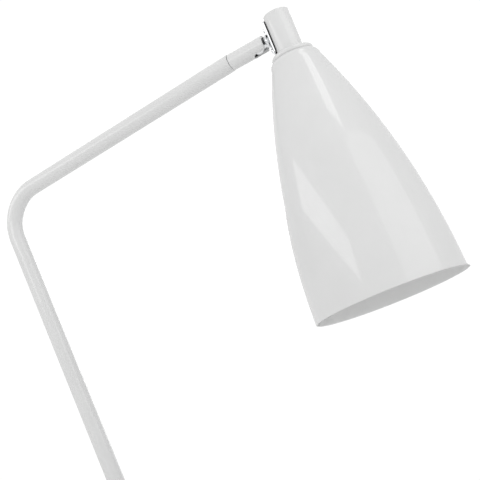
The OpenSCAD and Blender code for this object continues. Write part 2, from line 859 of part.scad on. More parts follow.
// Points along the shade's wall, from the shoulder to the rim, set in by an inset
function wall_points(inset, steps = 24) =
    let (lean = atan2(shade_rim_r - shade_top_r, rim_s - shade_top - shoulder_drop),
         half = asin(shade_chord / 2 / shade_arc_r),
         mid_r = (shade_top_r + shade_rim_r) / 2,
         mid_s = (shade_top + shoulder_drop + rim_s) / 2,
         back = shade_arc_r - shade_bulge,
         centre = [mid_r - back * cos(lean), mid_s + back * sin(lean)])
    [for (i = [0 : steps]) let (a = -lean - half + 2 * half * i / steps)
        centre + (shade_arc_r - inset) * [cos(a), sin(a)]];

// Points round the shade's shoulder, from its flat top to the start of the wall
function shoulder_points(inset, steps = 8) =
    let (start = wall_points(inset)[0], flat_r = start[0] - shoulder_edge + inset / 2,
        top = shade_top + inset)
    [for (i = [0 : steps]) let (t = i / steps, corner_pt = [start[0] - 1.1, top])
        (1 - t) * (1 - t) * [flat_r, top] + 2 * t * (1 - t) * corner_pt + t * t * start];

module shade() {
    outside = concat(shoulder_points(0), wall_points(0));
    inside = concat(shoulder_points(shade_wall), wall_points(shade_wall));
    color(white) at_neck() rotate_extrude() polygon(concat(
        [[nipple_d / 2 + seat_gap, shade_top]], outside,
        [for (i = [len(inside) - 1 : -1 : 0]) [inside[i][0], min(inside[i][1], rim_s)]],
        [[nipple_d / 2 + seat_gap, shade_top + shade_wall]]));
}

module nipple() {
    color(brass) at_neck() ring(nipple_d / 2, nipple_bore / 2, nipple_top, nipple_end - nipple_top);
}

module nipple_nut() {
    color(brass) at_neck()
        nut(nipple_nut_af, nipple_d + 2 * seat_gap, -cap_floor_t - nipple_nut_t, nipple_nut_t);
}

module holder_cap() {
    color(white) at_neck() difference() {
        union() {
            translate([0, 0, holder_top])
                cylinder(r1 = holder_d / 2 - holder_cone_h, r2 = holder_d / 2, h = holder_cone_h);
            translate([0, 0, holder_top + holder_cone_h])
                cylinder(r = holder_d / 2, h = holder_cap_h - holder_cone_h);
        }
        translate([0, 0, holder_top - overcut]) cylinder(d = nipple_d + 2 * seat_gap, h = holder_len);
        translate([0, 0, holder_top + holder_floor_t])
            cylinder(r = holder_d / 2 - holder_wall, h = holder_len);
    }
}

module holder_core() {
    color([0.95, 0.95, 0.92]) at_neck() difference() {
        ring(holder_d / 2 - holder_wall - seat_gap, core_bore_r, core_s, core_t);
        for (side = [-1, 1]) translate([core_pin_x * side, 0, core_s - overcut])
            cylinder(d = core_pin_d, h = core_t + 2 * overcut);
    }
}

module holder_contacts() {
    color(brass) at_neck() {
        translate([-contact_w / 2, -contact_w / 2, contact_s]) cube([contact_w, contact_w, contact_h]);
        for (side = [-1, 1]) translate([core_pin_x * side - blade_t / 2, -blade_w / 2, contact_s])
            cube([blade_t, blade_w, contact_h]);
    }
}

module holder_sleeve() {
    color(white) at_neck() ring(holder_d / 2, holder_d / 2 - holder_wall, core_s, holder_end - core_s);
}

module head_lead() {
    color(lead_colour) at_neck() translate([0, 0, stud_s + head_lead_back])
        cylinder(d = lead_d, h = core_s - stud_s - head_lead_back - lead_break);
}

module bulb_base() {
    color(chrome) at_neck() {
        ring(bulb_cap_r, bulb_cap_r - bulb_wall, bulb_s + bulb_tip_h + bulb_cone_h,
            bulb_cap_len - bulb_tip_h - bulb_cone_h);
        translate([0, 0, bulb_s + bulb_tip_h]) cylinder(r1 = bulb_cone_r, r2 = bulb_cap_r, h = bulb_cone_h);
        translate([0, 0, bulb_s]) cylinder(r = bulb_tip_r, h = bulb_tip_h + thread_gap);
    }
}

// The bulb's outline as a solid, set in by an inset
module bulb_shape(inset) {
    globe_s = bulb_tip_s - bulb_d / 2;
    globe_r = bulb_d / 2 - inset;
    translate([0, 0, globe_s]) sphere(r = globe_r);
    translate([0, 0, bulb_neck_s + inset])
        cylinder(r1 = bulb_neck_r - inset, r2 = globe_r * cos(bulb_neck_angle),
            h = globe_s - bulb_neck_s - globe_r * sin(bulb_neck_angle) - inset);
}

module bulb_glass() {
    color([1, 1, 0.96]) at_neck() difference() {
        bulb_shape(glass_gap);
        bulb_shape(bulb_wall);
    }
}

foot_pad();
bottom_plate();
base_weight();
base_cover();
plate_screws();
pivot_bush();
swing_stop();
cord_gland();
gland_nut();
terminal_block();
terminal_barrels();
terminal_screws();
switch_body();
switch_bezel();
base_lead();
switch_button();
hub();
friction_washer();
spindle();
spring_washer();
spindle_nut();
set_screw();
arm_tube();
tip_insert();
arm_lead();
swivel_collar();
collar_screw();
ball_seat();
disc_springs();
seat_nut();
collar_lead();
swivel_ball();
stud_washer();
stud_nut();
stud_lead();
saddle_plate();
saddle_gasket();
saddle_screws();
saddle_washer();
head_cap();
cap_lid();
neck_ring();
shade();
nipple();
nipple_nut();
holder_cap();
holder_core();
holder_contacts();
holder_sleeve();
head_lead();
bulb_base();
bulb_glass();
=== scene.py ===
"""Looks of a swing arm desk lamp: finishes, smooth casings, small hardware, stage and camera.

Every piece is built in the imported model's own frame, in metres, and rides on one of its bodies.
"""

from __future__ import annotations

import json
import logging
import math
from dataclasses import dataclass
from enum import Enum
from typing import Iterable, Sequence

import bmesh
import bpy
from mathutils import Matrix, Vector

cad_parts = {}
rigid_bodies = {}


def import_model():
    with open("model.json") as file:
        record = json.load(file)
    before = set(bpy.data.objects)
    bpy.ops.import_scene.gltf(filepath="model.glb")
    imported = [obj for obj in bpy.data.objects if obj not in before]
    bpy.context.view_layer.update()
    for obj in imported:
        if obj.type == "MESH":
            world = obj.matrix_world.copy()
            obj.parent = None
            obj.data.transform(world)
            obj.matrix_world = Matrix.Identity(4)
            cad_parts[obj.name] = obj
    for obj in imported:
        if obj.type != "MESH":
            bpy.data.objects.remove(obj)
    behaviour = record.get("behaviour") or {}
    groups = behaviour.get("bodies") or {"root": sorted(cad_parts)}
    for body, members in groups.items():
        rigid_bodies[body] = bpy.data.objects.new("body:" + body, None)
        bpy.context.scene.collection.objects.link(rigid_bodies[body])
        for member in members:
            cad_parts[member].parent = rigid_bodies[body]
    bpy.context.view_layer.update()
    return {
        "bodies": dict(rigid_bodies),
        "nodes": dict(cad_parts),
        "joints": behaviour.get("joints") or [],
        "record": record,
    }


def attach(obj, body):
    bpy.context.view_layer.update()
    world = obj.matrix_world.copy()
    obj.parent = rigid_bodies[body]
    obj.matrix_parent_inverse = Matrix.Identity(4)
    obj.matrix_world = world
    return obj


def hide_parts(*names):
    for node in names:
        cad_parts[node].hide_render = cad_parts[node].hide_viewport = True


LOG = logging.getLogger("desk_lamp")
MM = 0.001
Point = tuple[float, float]
Corner = tuple[float, float, float]
Colour = tuple[float, float, float]


class Body(str, Enum):
    """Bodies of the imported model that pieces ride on."""

    BASE = "base"
    BUTTON = "button"
    ARM = "arm"
    COLLAR = "collar"
    BALL = "ball"
    HEAD = "head"


# ---------------------------------------------------------------- sizes


@dataclass(frozen=True)
class LampSizes:
    """Driving sizes of the lamp in millimetres and degrees, as the design sets them."""

    tube_d: float = 16.0
    stem_len: float = 345.0
    arm_len: float = 313.0
    stem_lean: float = 27.4
    arm_rise: float = 24.8
    bend_r: float = 38.0
    head_lean: float = 23.2
    head_offset: float = 27.0
    foot_z: float = 35.1
    collar_back: float = 28.1
    collar_front: float = 7.8
    collar_droop: float = 2.7
    seam_gap: float = 0.5
    cap_len: float = 38.9
    cap_drop: float = 1.0

    @property
    def corner(self) -> Vector:
        """Corner where the stem's and the arm's centrelines meet."""
        lean = math.radians(self.stem_lean)
        return Vector((-self.stem_len * math.sin(lean), 0.0, self.foot_z + self.stem_len * math.cos(lean)))

    @property
    def ball(self) -> Vector:
        """Centre of the swivel's ball."""
        return self.sleeve_foot + self.collar_back * self.way(self.arm_rise - self.collar_droop)

    @property
    def sleeve_foot(self) -> Vector:
        """Middle of the sleeve's back face, on the arm's centreline."""
        return self.corner + (self.arm_len - self.collar_back) * self.way(self.arm_rise)

    @property
    def stud_s(self) -> float:
        """The stud's place along the head, from the cap's lower end."""
        return -self.cap_len / 2 - self.cap_drop

    @staticmethod
    def way(rise: float) -> Vector:
        """Direction in the XZ plane that rises by an angle.

        Args:
            rise: Angle above the horizontal, in degrees.

        Returns:
            The unit vector.
        """
        return Vector((math.cos(math.radians(rise)), 0.0, math.sin(math.radians(rise))))


SIZES = LampSizes()


def turned(origin: Vector, degrees: float) -> Matrix:
    """Frame in millimetres whose Z axis leans towards +X.

    Args:
        origin: The frame's origin, in millimetres.
        degrees: How far Z leans from the vertical.

    Returns:
        The frame's matrix.
    """
    return Matrix.Translation(origin) @ Matrix.Rotation(math.radians(degrees), 4, "Y")


AT_WORLD = Matrix.Identity(4)
AT_FOOT = turned(Vector((0.0, 0.0, SIZES.foot_z)), -SIZES.stem_lean)
AT_CORNER = turned(SIZES.corner, 90.0 - SIZES.arm_rise)
AT_BALL = turned(SIZES.ball, 90.0 - SIZES.arm_rise + SIZES.collar_droop)
AT_STUD = turned(SIZES.ball, 90.0 - SIZES.head_lean)
AT_NECK = (
    turned(SIZES.ball, -SIZES.head_lean)
    @ Matrix.Translation((SIZES.head_offset, 0.0, SIZES.stud_s))
    @ Matrix.Rotation(math.pi, 4, "X")
)


# ---------------------------------------------------------------- finishes


class Shader:
    """A material's node tree, with short calls for the nodes that the finishes share."""

    def __init__(self, name: str) -> None:
        """Starts a material with one Principled shader.

        Args:
            name: The material's name.
        """
        self.material = bpy.data.materials.new(name)
        self.material.use_nodes = True
        self.tree = self.material.node_tree
        self.bsdf = self.tree.nodes["Principled BSDF"]
        self.coords = self.tree.nodes.new("ShaderNodeTexCoord").outputs["Object"]

    def set(self, **values: float | Sequence[float]) -> None:
        """Sets uniform values on the shader's own sockets, such as Coat_Weight=0.5."""
        for label, value in values.items():
            self.bsdf.inputs[label.replace("_", " ")].default_value = value

    def mapped(self, scale: Sequence[float]) -> bpy.types.NodeSocket:
        """Object coordinates stretched by a scale on each axis."""
        node = self.tree.nodes.new("ShaderNodeMapping")
        node.inputs["Scale"].default_value = scale
        self.tree.links.new(self.coords, node.inputs["Vector"])
        return node.outputs["Vector"]

    def noise(
        self, scale: float, detail: float = 2.0, vector: bpy.types.NodeSocket | None = None
    ) -> bpy.types.NodeSocket:
        """Grey noise.

        Args:
            scale: Cells for each metre.
            detail: Octaves.
            vector: Coordinates, or None for plain object coordinates.

        Returns:
            The noise's value socket.
        """
        node = self.tree.nodes.new("ShaderNodeTexNoise")
        node.inputs["Scale"].default_value = scale
        node.inputs["Detail"].default_value = detail
        self.tree.links.new(vector or self.coords, node.inputs["Vector"])
        return node.outputs["Fac"]

    def spread(self, value: bpy.types.NodeSocket, low: float, high: float) -> bpy.types.NodeSocket:
        """Maps the middle of a noise's range onto low to high."""
        node = self.tree.nodes.new("ShaderNodeMapRange")
        node.inputs["From Min"].default_value = 0.3
        node.inputs["From Max"].default_value = 0.7
        node.inputs["To Min"].default_value = low
        node.inputs["To Max"].default_value = high
        self.tree.links.new(value, node.inputs["Value"])
        return node.outputs["Result"]

    def tint(self, value: bpy.types.NodeSocket, dark: Colour, light: Colour) -> None:
        """Drives the base colour from dark to light by a grey value."""
        node = self.tree.nodes.new("ShaderNodeValToRGB")
        node.color_ramp.elements[0].position = 0.3
        node.color_ramp.elements[1].position = 0.7
        node.color_ramp.elements[0].color = (*dark, 1.0)
        node.color_ramp.elements[1].color = (*light, 1.0)
        self.tree.links.new(value, node.inputs["Fac"])
        self.tree.links.new(node.outputs["Color"], self.bsdf.inputs["Base Color"])

    def rough(self, value: bpy.types.NodeSocket) -> None:
        """Drives the roughness."""
        self.tree.links.new(value, self.bsdf.inputs["Roughness"])

    def bump(self, value: bpy.types.NodeSocket, depth_mm: float, coat: bool = False) -> None:
        """Raises the surface by a grey value.

        Args:
            value: The height's socket.
            depth_mm: Height of the full range.
            coat: Whether the clear coat follows the same relief.
        """
        node = self.tree.nodes.new("ShaderNodeBump")
        node.inputs["Strength"].default_value = 1.0
        node.inputs["Distance"].default_value = depth_mm * MM
        self.tree.links.new(value, node.inputs["Height"])
        self.tree.links.new(node.outputs["Normal"], self.bsdf.inputs["Normal"])
        if coat:
            self.tree.links.new(node.outputs["Normal"], self.bsdf.inputs["Coat Normal"])


def shade_of(colour: Colour, factor: float) -> Colour:
    """A colour made lighter or darker by a factor."""
    return tuple(min(1.0, c * factor) for c in colour)


@dataclass(frozen=True)
class Finish:
    """A surface finish. Each kind of finish says how its material is built."""

    name: str
    slot: str
    colour: Colour
    roughness: float

    def build(self) -> bpy.types.Material:
        """Builds the finish's material.

        Returns:
            The new material.
        """
        shader = Shader(self.name)
        shader.set(Base_Color=(*self.colour, 1.0), Roughness=self.roughness)
        self.dress(shader)
        shader.material.diffuse_color = (*self.colour, 1.0)
        return shader.material

    def dress(self, shader: Shader) -> None:
        """Adds what makes this finish more than one flat colour."""
        raise NotImplementedError


@dataclass(frozen=True)
class Enamel(Finish):
    """Sprayed and baked paint: faint cloudiness under a clear, slightly rippled gloss."""

    gloss: float = 1.0
    peel_mm: float = 0.0012

    def dress(self, shader: Shader) -> None:
        """Adds cloudiness, uneven roughness and orange peel."""
        shader.tint(shader.noise(34.0, 3.0), shade_of(self.colour, 0.985), shade_of(self.colour, 1.012))
        shader.rough(shader.spread(shader.noise(160.0, 3.0), self.roughness * 0.9, self.roughness * 1.15))
        shader.bump(shader.noise(900.0, 1.0), self.peel_mm, coat=True)
        shader.set(Coat_Weight=self.gloss, Coat_Roughness=0.07, Coat_IOR=1.5)


@dataclass(frozen=True)
class Polished(Finish):
    """Polished or plated metal with faint wipe marks."""

    drift: float = 0.05

    def dress(self, shader: Shader) -> None:
        """Adds fine wipe marks and tiny dents."""
        shader.tint(shader.noise(90.0, 4.0), shade_of(self.colour, 0.94), self.colour)
        streaks = shader.noise(1.0, 3.0, shader.mapped((260.0, 260.0, 2200.0)))
        shader.rough(shader.spread(streaks, self.roughness, self.roughness + self.drift))
        shader.bump(shader.noise(500.0, 2.0), 0.0015)
        shader.set(Metallic=1.0)


@dataclass(frozen=True)
class Turned(Finish):
    """Lathe-turned or plated metal: fine tool lines and blotchy plating."""

    grain_mm: float = 0.006

    def dress(self, shader: Shader) -> None:
        """Adds tool lines and uneven plating."""
        shader.tint(shader.noise(140.0, 5.0), shade_of(self.colour, 0.82), shade_of(self.colour, 1.06))
        lines = shader.noise(1.0, 4.0, shader.mapped((5200.0, 420.0, 900.0)))
        shader.rough(shader.spread(lines, self.roughness * 0.8, self.roughness * 1.3))
        shader.bump(lines, self.grain_mm)
        shader.set(Metallic=1.0)


@dataclass(frozen=True)
class Cast(Finish):
    """Sand-cast iron: grainy and dark, with a dull sheen."""

    def dress(self, shader: Shader) -> None:
        """Adds the casting's grain."""
        grain = shader.noise(700.0, 6.0)
        shader.tint(grain, shade_of(self.colour, 0.6), shade_of(self.colour, 1.5))
        shader.rough(shader.spread(grain, self.roughness, min(1.0, self.roughness + 0.25)))
        shader.bump(grain, 0.12)
        shader.set(Metallic=0.6)


@dataclass(frozen=True)
class Moulded(Finish):
    """Moulded plastic, nylon or sheath, with a fine spark-eroded texture."""

    grain_mm: float = 0.01
    clear: float = 0.0

    def dress(self, shader: Shader) -> None:
        """Adds the mould's texture and slight flow marks."""
        shader.tint(shader.noise(60.0, 3.0), shade_of(self.colour, 0.93), shade_of(self.colour, 1.05))
        shader.rough(shader.spread(shader.noise(240.0, 2.0), self.roughness * 0.85, self.roughness * 1.15))
        shader.bump(shader.noise(2600.0, 3.0), self.grain_mm)
        shader.set(Coat_Weight=self.clear, Coat_Roughness=0.12)


@dataclass(frozen=True)
class Foam(Finish):
    """Foam rubber: closed cells, matt and a little dusty."""

    def dress(self, shader: Shader) -> None:
        """Adds cells and dust."""
        cells = shader.noise(1800.0, 4.0)
        shader.tint(shader.noise(120.0, 4.0), shade_of(self.colour, 0.8), shade_of(self.colour, 1.7))
        shader.rough(shader.spread(cells, 0.75, 0.95))
        shader.bump(cells, 0.06)


@dataclass(frozen=True)
class Opal(Finish):
    """Opal glass: white, faintly translucent, with a smooth skin."""

    def dress(self, shader: Shader) -> None:
        """Adds faint streaks in the flashed layer."""
        streaks = shader.noise(1.0, 3.0, shader.mapped((50.0, 50.0, 14.0)))
        shader.tint(streaks, shade_of(self.colour, 0.96), self.colour)
        shader.rough(shader.spread(shader.noise(80.0, 2.0), self.roughness, self.roughness + 0.05))
        shader.set(Coat_Weight=0.7, Coat_Roughness=0.04, Subsurface_Weight=0.15, Subsurface_Scale=0.002)


WHITE: Colour = (0.700, 0.702, 0.700)
FINISHES: dict[str, Finish] = {
    f.name: f
    for f in (
        Enamel("gloss_enamel", "white_paint", WHITE, 0.42),
        # Inside paint: matt and low in gloss, and lighter than the outside white as painted light that
        # brightens the shaded hollow of the shade
        Enamel("inside_enamel_painted_light", "white_paint", (0.84, 0.842, 0.84), 0.55, gloss=0.25, peel_mm=0.002),
        Polished("chrome_plate", "chrome", (0.86, 0.87, 0.88), 0.05),
        Turned("zinc_steel", "steel", (0.60, 0.61, 0.63), 0.32),
        Turned("black_oxide", "steel", (0.035, 0.035, 0.038), 0.45),
        Turned("turned_brass", "brass", (0.78, 0.58, 0.26), 0.26),
        Turned("screw_shell", "bulb_shell", (0.78, 0.78, 0.79), 0.24, grain_mm=0.003),
        Cast("cast_iron", "iron", (0.055, 0.055, 0.058), 0.6),
        Foam("foot_foam", "foot_rubber", (0.022, 0.022, 0.022), 0.85),
        # Near-black spacer between cap and plate: its colour is painted shade, drawing the dark line of the
        # gap between them
        Moulded("gasket_painted_shade", "gasket", (0.010, 0.010, 0.010), 0.7),
        Moulded("black_moulding", "black_plastic", (0.022, 0.022, 0.023), 0.42),
        Moulded("button_moulding", "button_plastic", (0.66, 0.66, 0.655), 0.28, grain_mm=0.004, clear=0.5),
        Moulded("natural_nylon", "nylon", (0.62, 0.60, 0.54), 0.5),
        Moulded("holder_moulding", "holder_plastic", (0.70, 0.70, 0.68), 0.38, grain_mm=0.006, clear=0.2),
        Moulded("glazed_porcelain", "porcelain", (0.82, 0.81, 0.77), 0.15, grain_mm=0.003, clear=1.0),
        Moulded("lead_sheathing", "lead_sheath", (0.60, 0.60, 0.60), 0.45),
        Opal("opal_glass", "opal_glass", (0.86, 0.86, 0.83), 0.12),
    )
}
MATERIALS: dict[str, bpy.types.Material] = {}


def material(name: str) -> bpy.types.Material:
    """The material of a named finish, built the first time it is asked for."""
    if name not in MATERIALS:
        MATERIALS[name] = FINISHES[name].build()
    return MATERIALS[name]


# ---------------------------------------------------------------- shapes


def rounded(corners: Sequence[Corner], steps: int = 6) -> list[Point]:
    """Rounds an outline's corners with arcs.

    Args:
        corners: Points (radius, height, rounding), in millimetres.
        steps: Segments in each arc.

    Returns:
        The outline's points.
    """
    points: list[Point] = []
    last = len(corners) - 1
    for index, (r, z, rounding) in enumerate(corners):
        here = Vector((r, z))
        if rounding <= 0 or index in (0, last):
            points.append((r, z))
            continue
        before = Vector(corners[index - 1][:2]) - here
        after = Vector(corners[index + 1][:2]) - here
        half = before.angle(after) / 2
        if half > math.radians(89):
            points.append((r, z))
            continue
        reach = min(rounding / math.tan(half), before.length * 0.49, after.length * 0.49)
        radius = reach * math.tan(half)
        centre = here + (before.normalized() + after.normalized()).normalized() * radius / math.sin(half)
        start = here + before.normalized() * reach - centre
        end = here + after.normalized() * reach - centre
        first = math.atan2(start.y, start.x)
        sweep = (math.atan2(end.y, end.x) - first + math.pi) % math.tau - math.pi
        for step in range(steps + 1):
            angle = first + sweep * step / steps
            points.append((centre.x + radius * math.cos(angle), centre.y + radius * math.sin(angle)))
    return points


def mark_sharp(mesh: bpy.types.Mesh, degrees: float = 32.0) -> None:
    """Shades a mesh smooth and keeps edges steeper than an angle sharp.

    Args:
        mesh: The mesh to shade.
        degrees: Steepest angle that stays smooth.
    """
    work = bmesh.new()
    work.from_mesh(mesh)
    limit = math.radians(degrees)
    for face in work.faces:
        face.smooth = True
    for edge in work.edges:
        edge.smooth = len(edge.link_faces) == 2 and edge.calc_face_angle(0.0) < limit
    work.to_mesh(mesh)
    work.free()


def piece_from(
    name: str, work: bmesh.types.BMesh, frame: Matrix, finishes: Sequence[str]
) -> bpy.types.Object:
    """Makes an object at the origin from a mesh drawn in millimetres in a frame.

    Args:
        name: The piece's name.
        work: The drawn mesh, which is freed.
        frame: Frame that it is drawn in, in millimetres.
        finishes: Names of its finishes, in slot order.

    Returns:
        The new object.
    """
    bmesh.ops.recalc_face_normals(work, faces=work.faces)
    mesh = bpy.data.meshes.new(name)
    work.to_mesh(mesh)
    work.free()
    mesh.transform(Matrix.Scale(MM, 4) @ frame)
    mark_sharp(mesh)
    for finish in finishes:
        mesh.materials.append(material(finish))
    piece = bpy.data.objects.new(name, mesh)
    bpy.context.scene.collection.objects.link(piece)
    return piece


def loft(rings: Sequence[Sequence[Vector]], closed: bool, slots: Sequence[int] = ()) -> bmesh.types.BMesh:
    """Skins rings of points.

    Args:
        rings: Rings with the same number of points each.
        closed: Whether the last ring joins the first, as in a hollow turned piece.
        slots: Material slot of each stretch between two rings, or nothing for slot 0.

    Returns:
        The mesh, whose end rings are capped when it isn't closed.
    """
    work = bmesh.new()
    loops = [[work.verts.new(p) for p in ring] for ring in rings]
    pairs = list(zip(loops, loops[1:])) + ([(loops[-1], loops[0])] if closed else [])
    for stretch, (low, high) in enumerate(pairs):
        for index in range(len(low)):
            following = (index + 1) % len(low)
            face = work.faces.new((low[index], low[following], high[following], high[index]))
            face.material_index = slots[stretch] if stretch < len(slots) else 0
    if not closed:
        for loop in (loops[0], loops[-1]):
            if (loop[0].co - loop[len(loop) // 2].co).length > 1e-4:
                work.faces.new(loop)
    bmesh.ops.remove_doubles(work, verts=work.verts, dist=1e-5)
    bare = [edge for edge in work.edges if not edge.link_faces]
    bmesh.ops.delete(work, geom=bare, context="EDGES")
    return work


def ring_of(radius: float, height: float, segments: int, sides: int = 0) -> list[Vector]:
    """Points round the Z axis.

    Args:
        radius: Radius, or half the distance across flats of a polygon.
        height: Height along Z.
        segments: Number of points.
        sides: 0 for a circle, or the polygon's number of sides.

    Returns:
        The points.
    """
    points = []
    for index in range(segments):
        angle = math.tau * index / segments
        reach = radius
        if sides:
            part = math.tau / sides
            reach = radius / math.cos((angle % part) - part / 2)
        points.append(Vector((reach * math.cos(angle), reach * math.sin(angle), height)))
    return points


def lathe(
    name: str,
    outline: Sequence[Point],
    frame: Matrix,
    finishes: str | Sequence[str],
    segments: int = 96,
    closed: bool = True,
    slots: Sequence[int] = (),
) -> bpy.types.Object:
    """Turns an outline round a frame's Z axis.

    Args:
        name: The piece's name.
        outline: Points (radius, height) in millimetres.
        frame: Frame whose Z is the axis.
        finishes: Name of its finish, or the names in slot order.
        segments: Segments round the axis.
        closed: Whether the outline is a closed loop, clear of the axis.
        slots: Material slot of each stretch of the outline.

    Returns:
        The turned piece.
    """
    rings = [ring_of(max(r, 0.0), z, segments) for r, z in outline]
    names = [finishes] if isinstance(finishes, str) else list(finishes)
    return piece_from(name, loft(rings, closed, slots), frame, names)


def merged_copy(node: bpy.types.Object, name: str, finish: str, edge_mm: float) -> bpy.types.Object:
    """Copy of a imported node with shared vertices, smooth faces and softened edges.

    Args:
        node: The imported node's object.
        name: The copy's name.
        finish: Name of its finish.
        edge_mm: Width of the softened edges, or 0 for none.

    Returns:
        The copy.
    """
    work = bmesh.new()
    work.from_mesh(node.data)
    bmesh.ops.remove_doubles(work, verts=work.verts, dist=2e-6)
    bmesh.ops.dissolve_degenerate(work, edges=work.edges, dist=1e-6)
    bmesh.ops.dissolve_limit(work, angle_limit=math.radians(0.5), verts=work.verts, edges=work.edges)
    mesh = bpy.data.meshes.new(name)
    work.to_mesh(mesh)
    work.free()
    mesh.materials.clear()
    mesh.materials.append(material(finish))
    mark_sharp(mesh)
    piece = bpy.data.objects.new(name, mesh)
    bpy.context.scene.collection.objects.link(piece)
    if edge_mm > 0:
        soften(piece, edge_mm)
    return piece


def soften(piece: bpy.types.Object, width_mm: float, segments: int = 2) -> None:
    """Bevels a piece's steep edges and keeps the result as its mesh."""
    bevel = piece.modifiers.new("soft_edges", "BEVEL")
    bevel.width = width_mm * MM
    bevel.segments = segments
    bevel.limit_method = "ANGLE"
    bevel.angle_limit = math.radians(40)
    bevel.use_clamp_overlap = True
    settle(piece)


def settle(piece: bpy.types.Object) -> None:
    """Replaces a piece's mesh by its evaluated shape, with no modifier left."""
    graph = bpy.context.evaluated_depsgraph_get()
    mesh = bpy.data.meshes.new_from_object(piece.evaluated_get(graph))
    for index in range(len(mesh.materials) - 1, -1, -1):
        if mesh.materials[index] is None:
            mesh.materials.pop(index=index)
    piece.modifiers.clear()
    piece.data = mesh
    mark_sharp(mesh)


def carve(piece: bpy.types.Object, tool: bpy.types.Object, operation: str) -> None:
    """Cuts or joins a piece with a tool, which is used up.

    Args:
        piece: The piece to change.
        tool: The other solid.
        operation: DIFFERENCE or UNION.
    """
    cut = piece.modifiers.new("carve", "BOOLEAN")
    cut.operation = operation
    cut.solver = "EXACT"
    cut.object = tool
    settle(piece)
    bpy.data.objects.remove(tool)


def prism(radius: float, low: float, high: float, frame: Matrix, sides: int = 0) -> bpy.types.Object:
    """A round or many-sided bar that cuts holes.

    Args:
        radius: Radius, or half the distance across flats.
        low: Lower end along the frame's Z.
        high: Upper end.
        frame: Frame that it stands in.
        sides: 0 for a round bar, or the number of sides.

    Returns:
        The bar, without a material.
    """
    count = sides * 4 if sides else 48
    work = loft([ring_of(radius, z, count, sides) for z in (low, high)], closed=False)
    return piece_from("bar", work, frame, [])


def block(low: Corner, high: Corner, frame: Matrix) -> bpy.types.Object:
    """A rectangular block that cuts slots, between two corners in a frame."""
    work = bmesh.new()
    bmesh.ops.create_cube(work, size=1.0)
    middle = (Vector(low) + Vector(high)) / 2
    size = Vector(high) - Vector(low)
    bmesh.ops.scale(work, vec=size, verts=work.verts)
    bmesh.ops.translate(work, vec=middle, verts=work.verts)
    return piece_from("block", work, frame, [])


# ---------------------------------------------------------------- geometry nodes


class Recipe:
    """A geometry node tree that is built in code, with named inputs."""

    def __init__(self, name: str) -> None:
        """Starts an empty tree with a geometry input and output."""
        self.tree = bpy.data.node_groups.new(name, "GeometryNodeTree")
        self.tree.interface.new_socket("Geometry", in_out="INPUT", socket_type="NodeSocketGeometry")
        self.tree.interface.new_socket("Geometry", in_out="OUTPUT", socket_type="NodeSocketGeometry")
        self.source = self.tree.nodes.new("NodeGroupInput")
        self.result = self.tree.nodes.new("NodeGroupOutput")

    def size(self, label: str, kind: str = "Float") -> bpy.types.NodeSocket:
        """Adds a named input to the tree.

        Args:
            label: The input's name.
            kind: Float, Int, Object or Material.

        Returns:
            The socket to link from.
        """
        self.tree.interface.new_socket(label, in_out="INPUT", socket_type=f"NodeSocket{kind}")
        return self.source.outputs[label]

    def node(self, kind: str, settings: dict[str, object] | None = None, **inputs: object) -> bpy.types.Node:
        """Adds a node.

        Args:
            kind: Blender's name of the node.
            settings: Attributes to set on it.
            **inputs: A socket to link, or a value, for each input by its name with underscores.

        Returns:
            The node.
        """
        made = self.tree.nodes.new(kind)
        for key, value in (settings or {}).items():
            setattr(made, key, value)
        for label, value in inputs.items():
            socket = next(s for s in made.inputs if s.name == label.replace("_", " ") and s.enabled)
            if isinstance(value, bpy.types.NodeSocket):
                self.tree.links.new(value, socket)
            else:
                socket.default_value = value
        return made

    def join(self, *pieces: bpy.types.NodeSocket) -> bpy.types.NodeSocket:
        """Joins geometries."""
        made = self.tree.nodes.new("GeometryNodeJoinGeometry")
        for piece in reversed(pieces):
            self.tree.links.new(piece, made.inputs["Geometry"])
        return made.outputs["Geometry"]

    def finish(self, geometry: bpy.types.NodeSocket) -> bpy.types.NodeTree:
        """Ends the tree with Realize Instances and Set Material.

        Args:
            geometry: The shape to give out.

        Returns:
            The finished tree, with a Finish input.
        """
        finish = self.size("Finish", "Material")
        real = self.node("GeometryNodeRealizeInstances", Geometry=geometry)
        dressed = self.node("GeometryNodeSetMaterial", Geometry=real.outputs["Geometry"], Material=finish)
        self.tree.links.new(dressed.outputs["Geometry"], self.result.inputs["Geometry"])
        return self.tree


def swept_tube_tree() -> bpy.types.NodeTree:
    """Tree that sweeps a round hollow tube along a path of edges."""
    recipe = Recipe("swept_tube")
    radius = recipe.size("Outer radius")
    wall = recipe.size("Wall")
    count = recipe.size("Segments", "Int")
    path = recipe.node("GeometryNodeMeshToCurve", Mesh=recipe.source.outputs["Geometry"])
    circle = recipe.node("GeometryNodeCurvePrimitiveCircle", Resolution=count, Radius=radius)
    skin = recipe.node(
        "GeometryNodeCurveToMesh", Curve=path.outputs["Curve"], Profile_Curve=circle.outputs["Curve"]
    )
    inward = recipe.node("ShaderNodeMath", {"operation": "MULTIPLY"})
    recipe.tree.links.new(wall, inward.inputs[0])
    inward.inputs[1].default_value = -1.0
    lining = recipe.node(
        "GeometryNodeExtrudeMesh",
        {"mode": "FACES"},
        Mesh=skin.outputs["Mesh"],
        Offset_Scale=inward.outputs[0],
        Individual=False,
    )
    flipped = recipe.node("GeometryNodeFlipFaces", Mesh=lining.outputs["Mesh"])
    both = recipe.join(skin.outputs["Mesh"], flipped.outputs["Mesh"])
    merged = recipe.node("GeometryNodeMergeByDistance", Geometry=both, Distance=1e-6)
    return recipe.finish(merged.outputs["Geometry"])


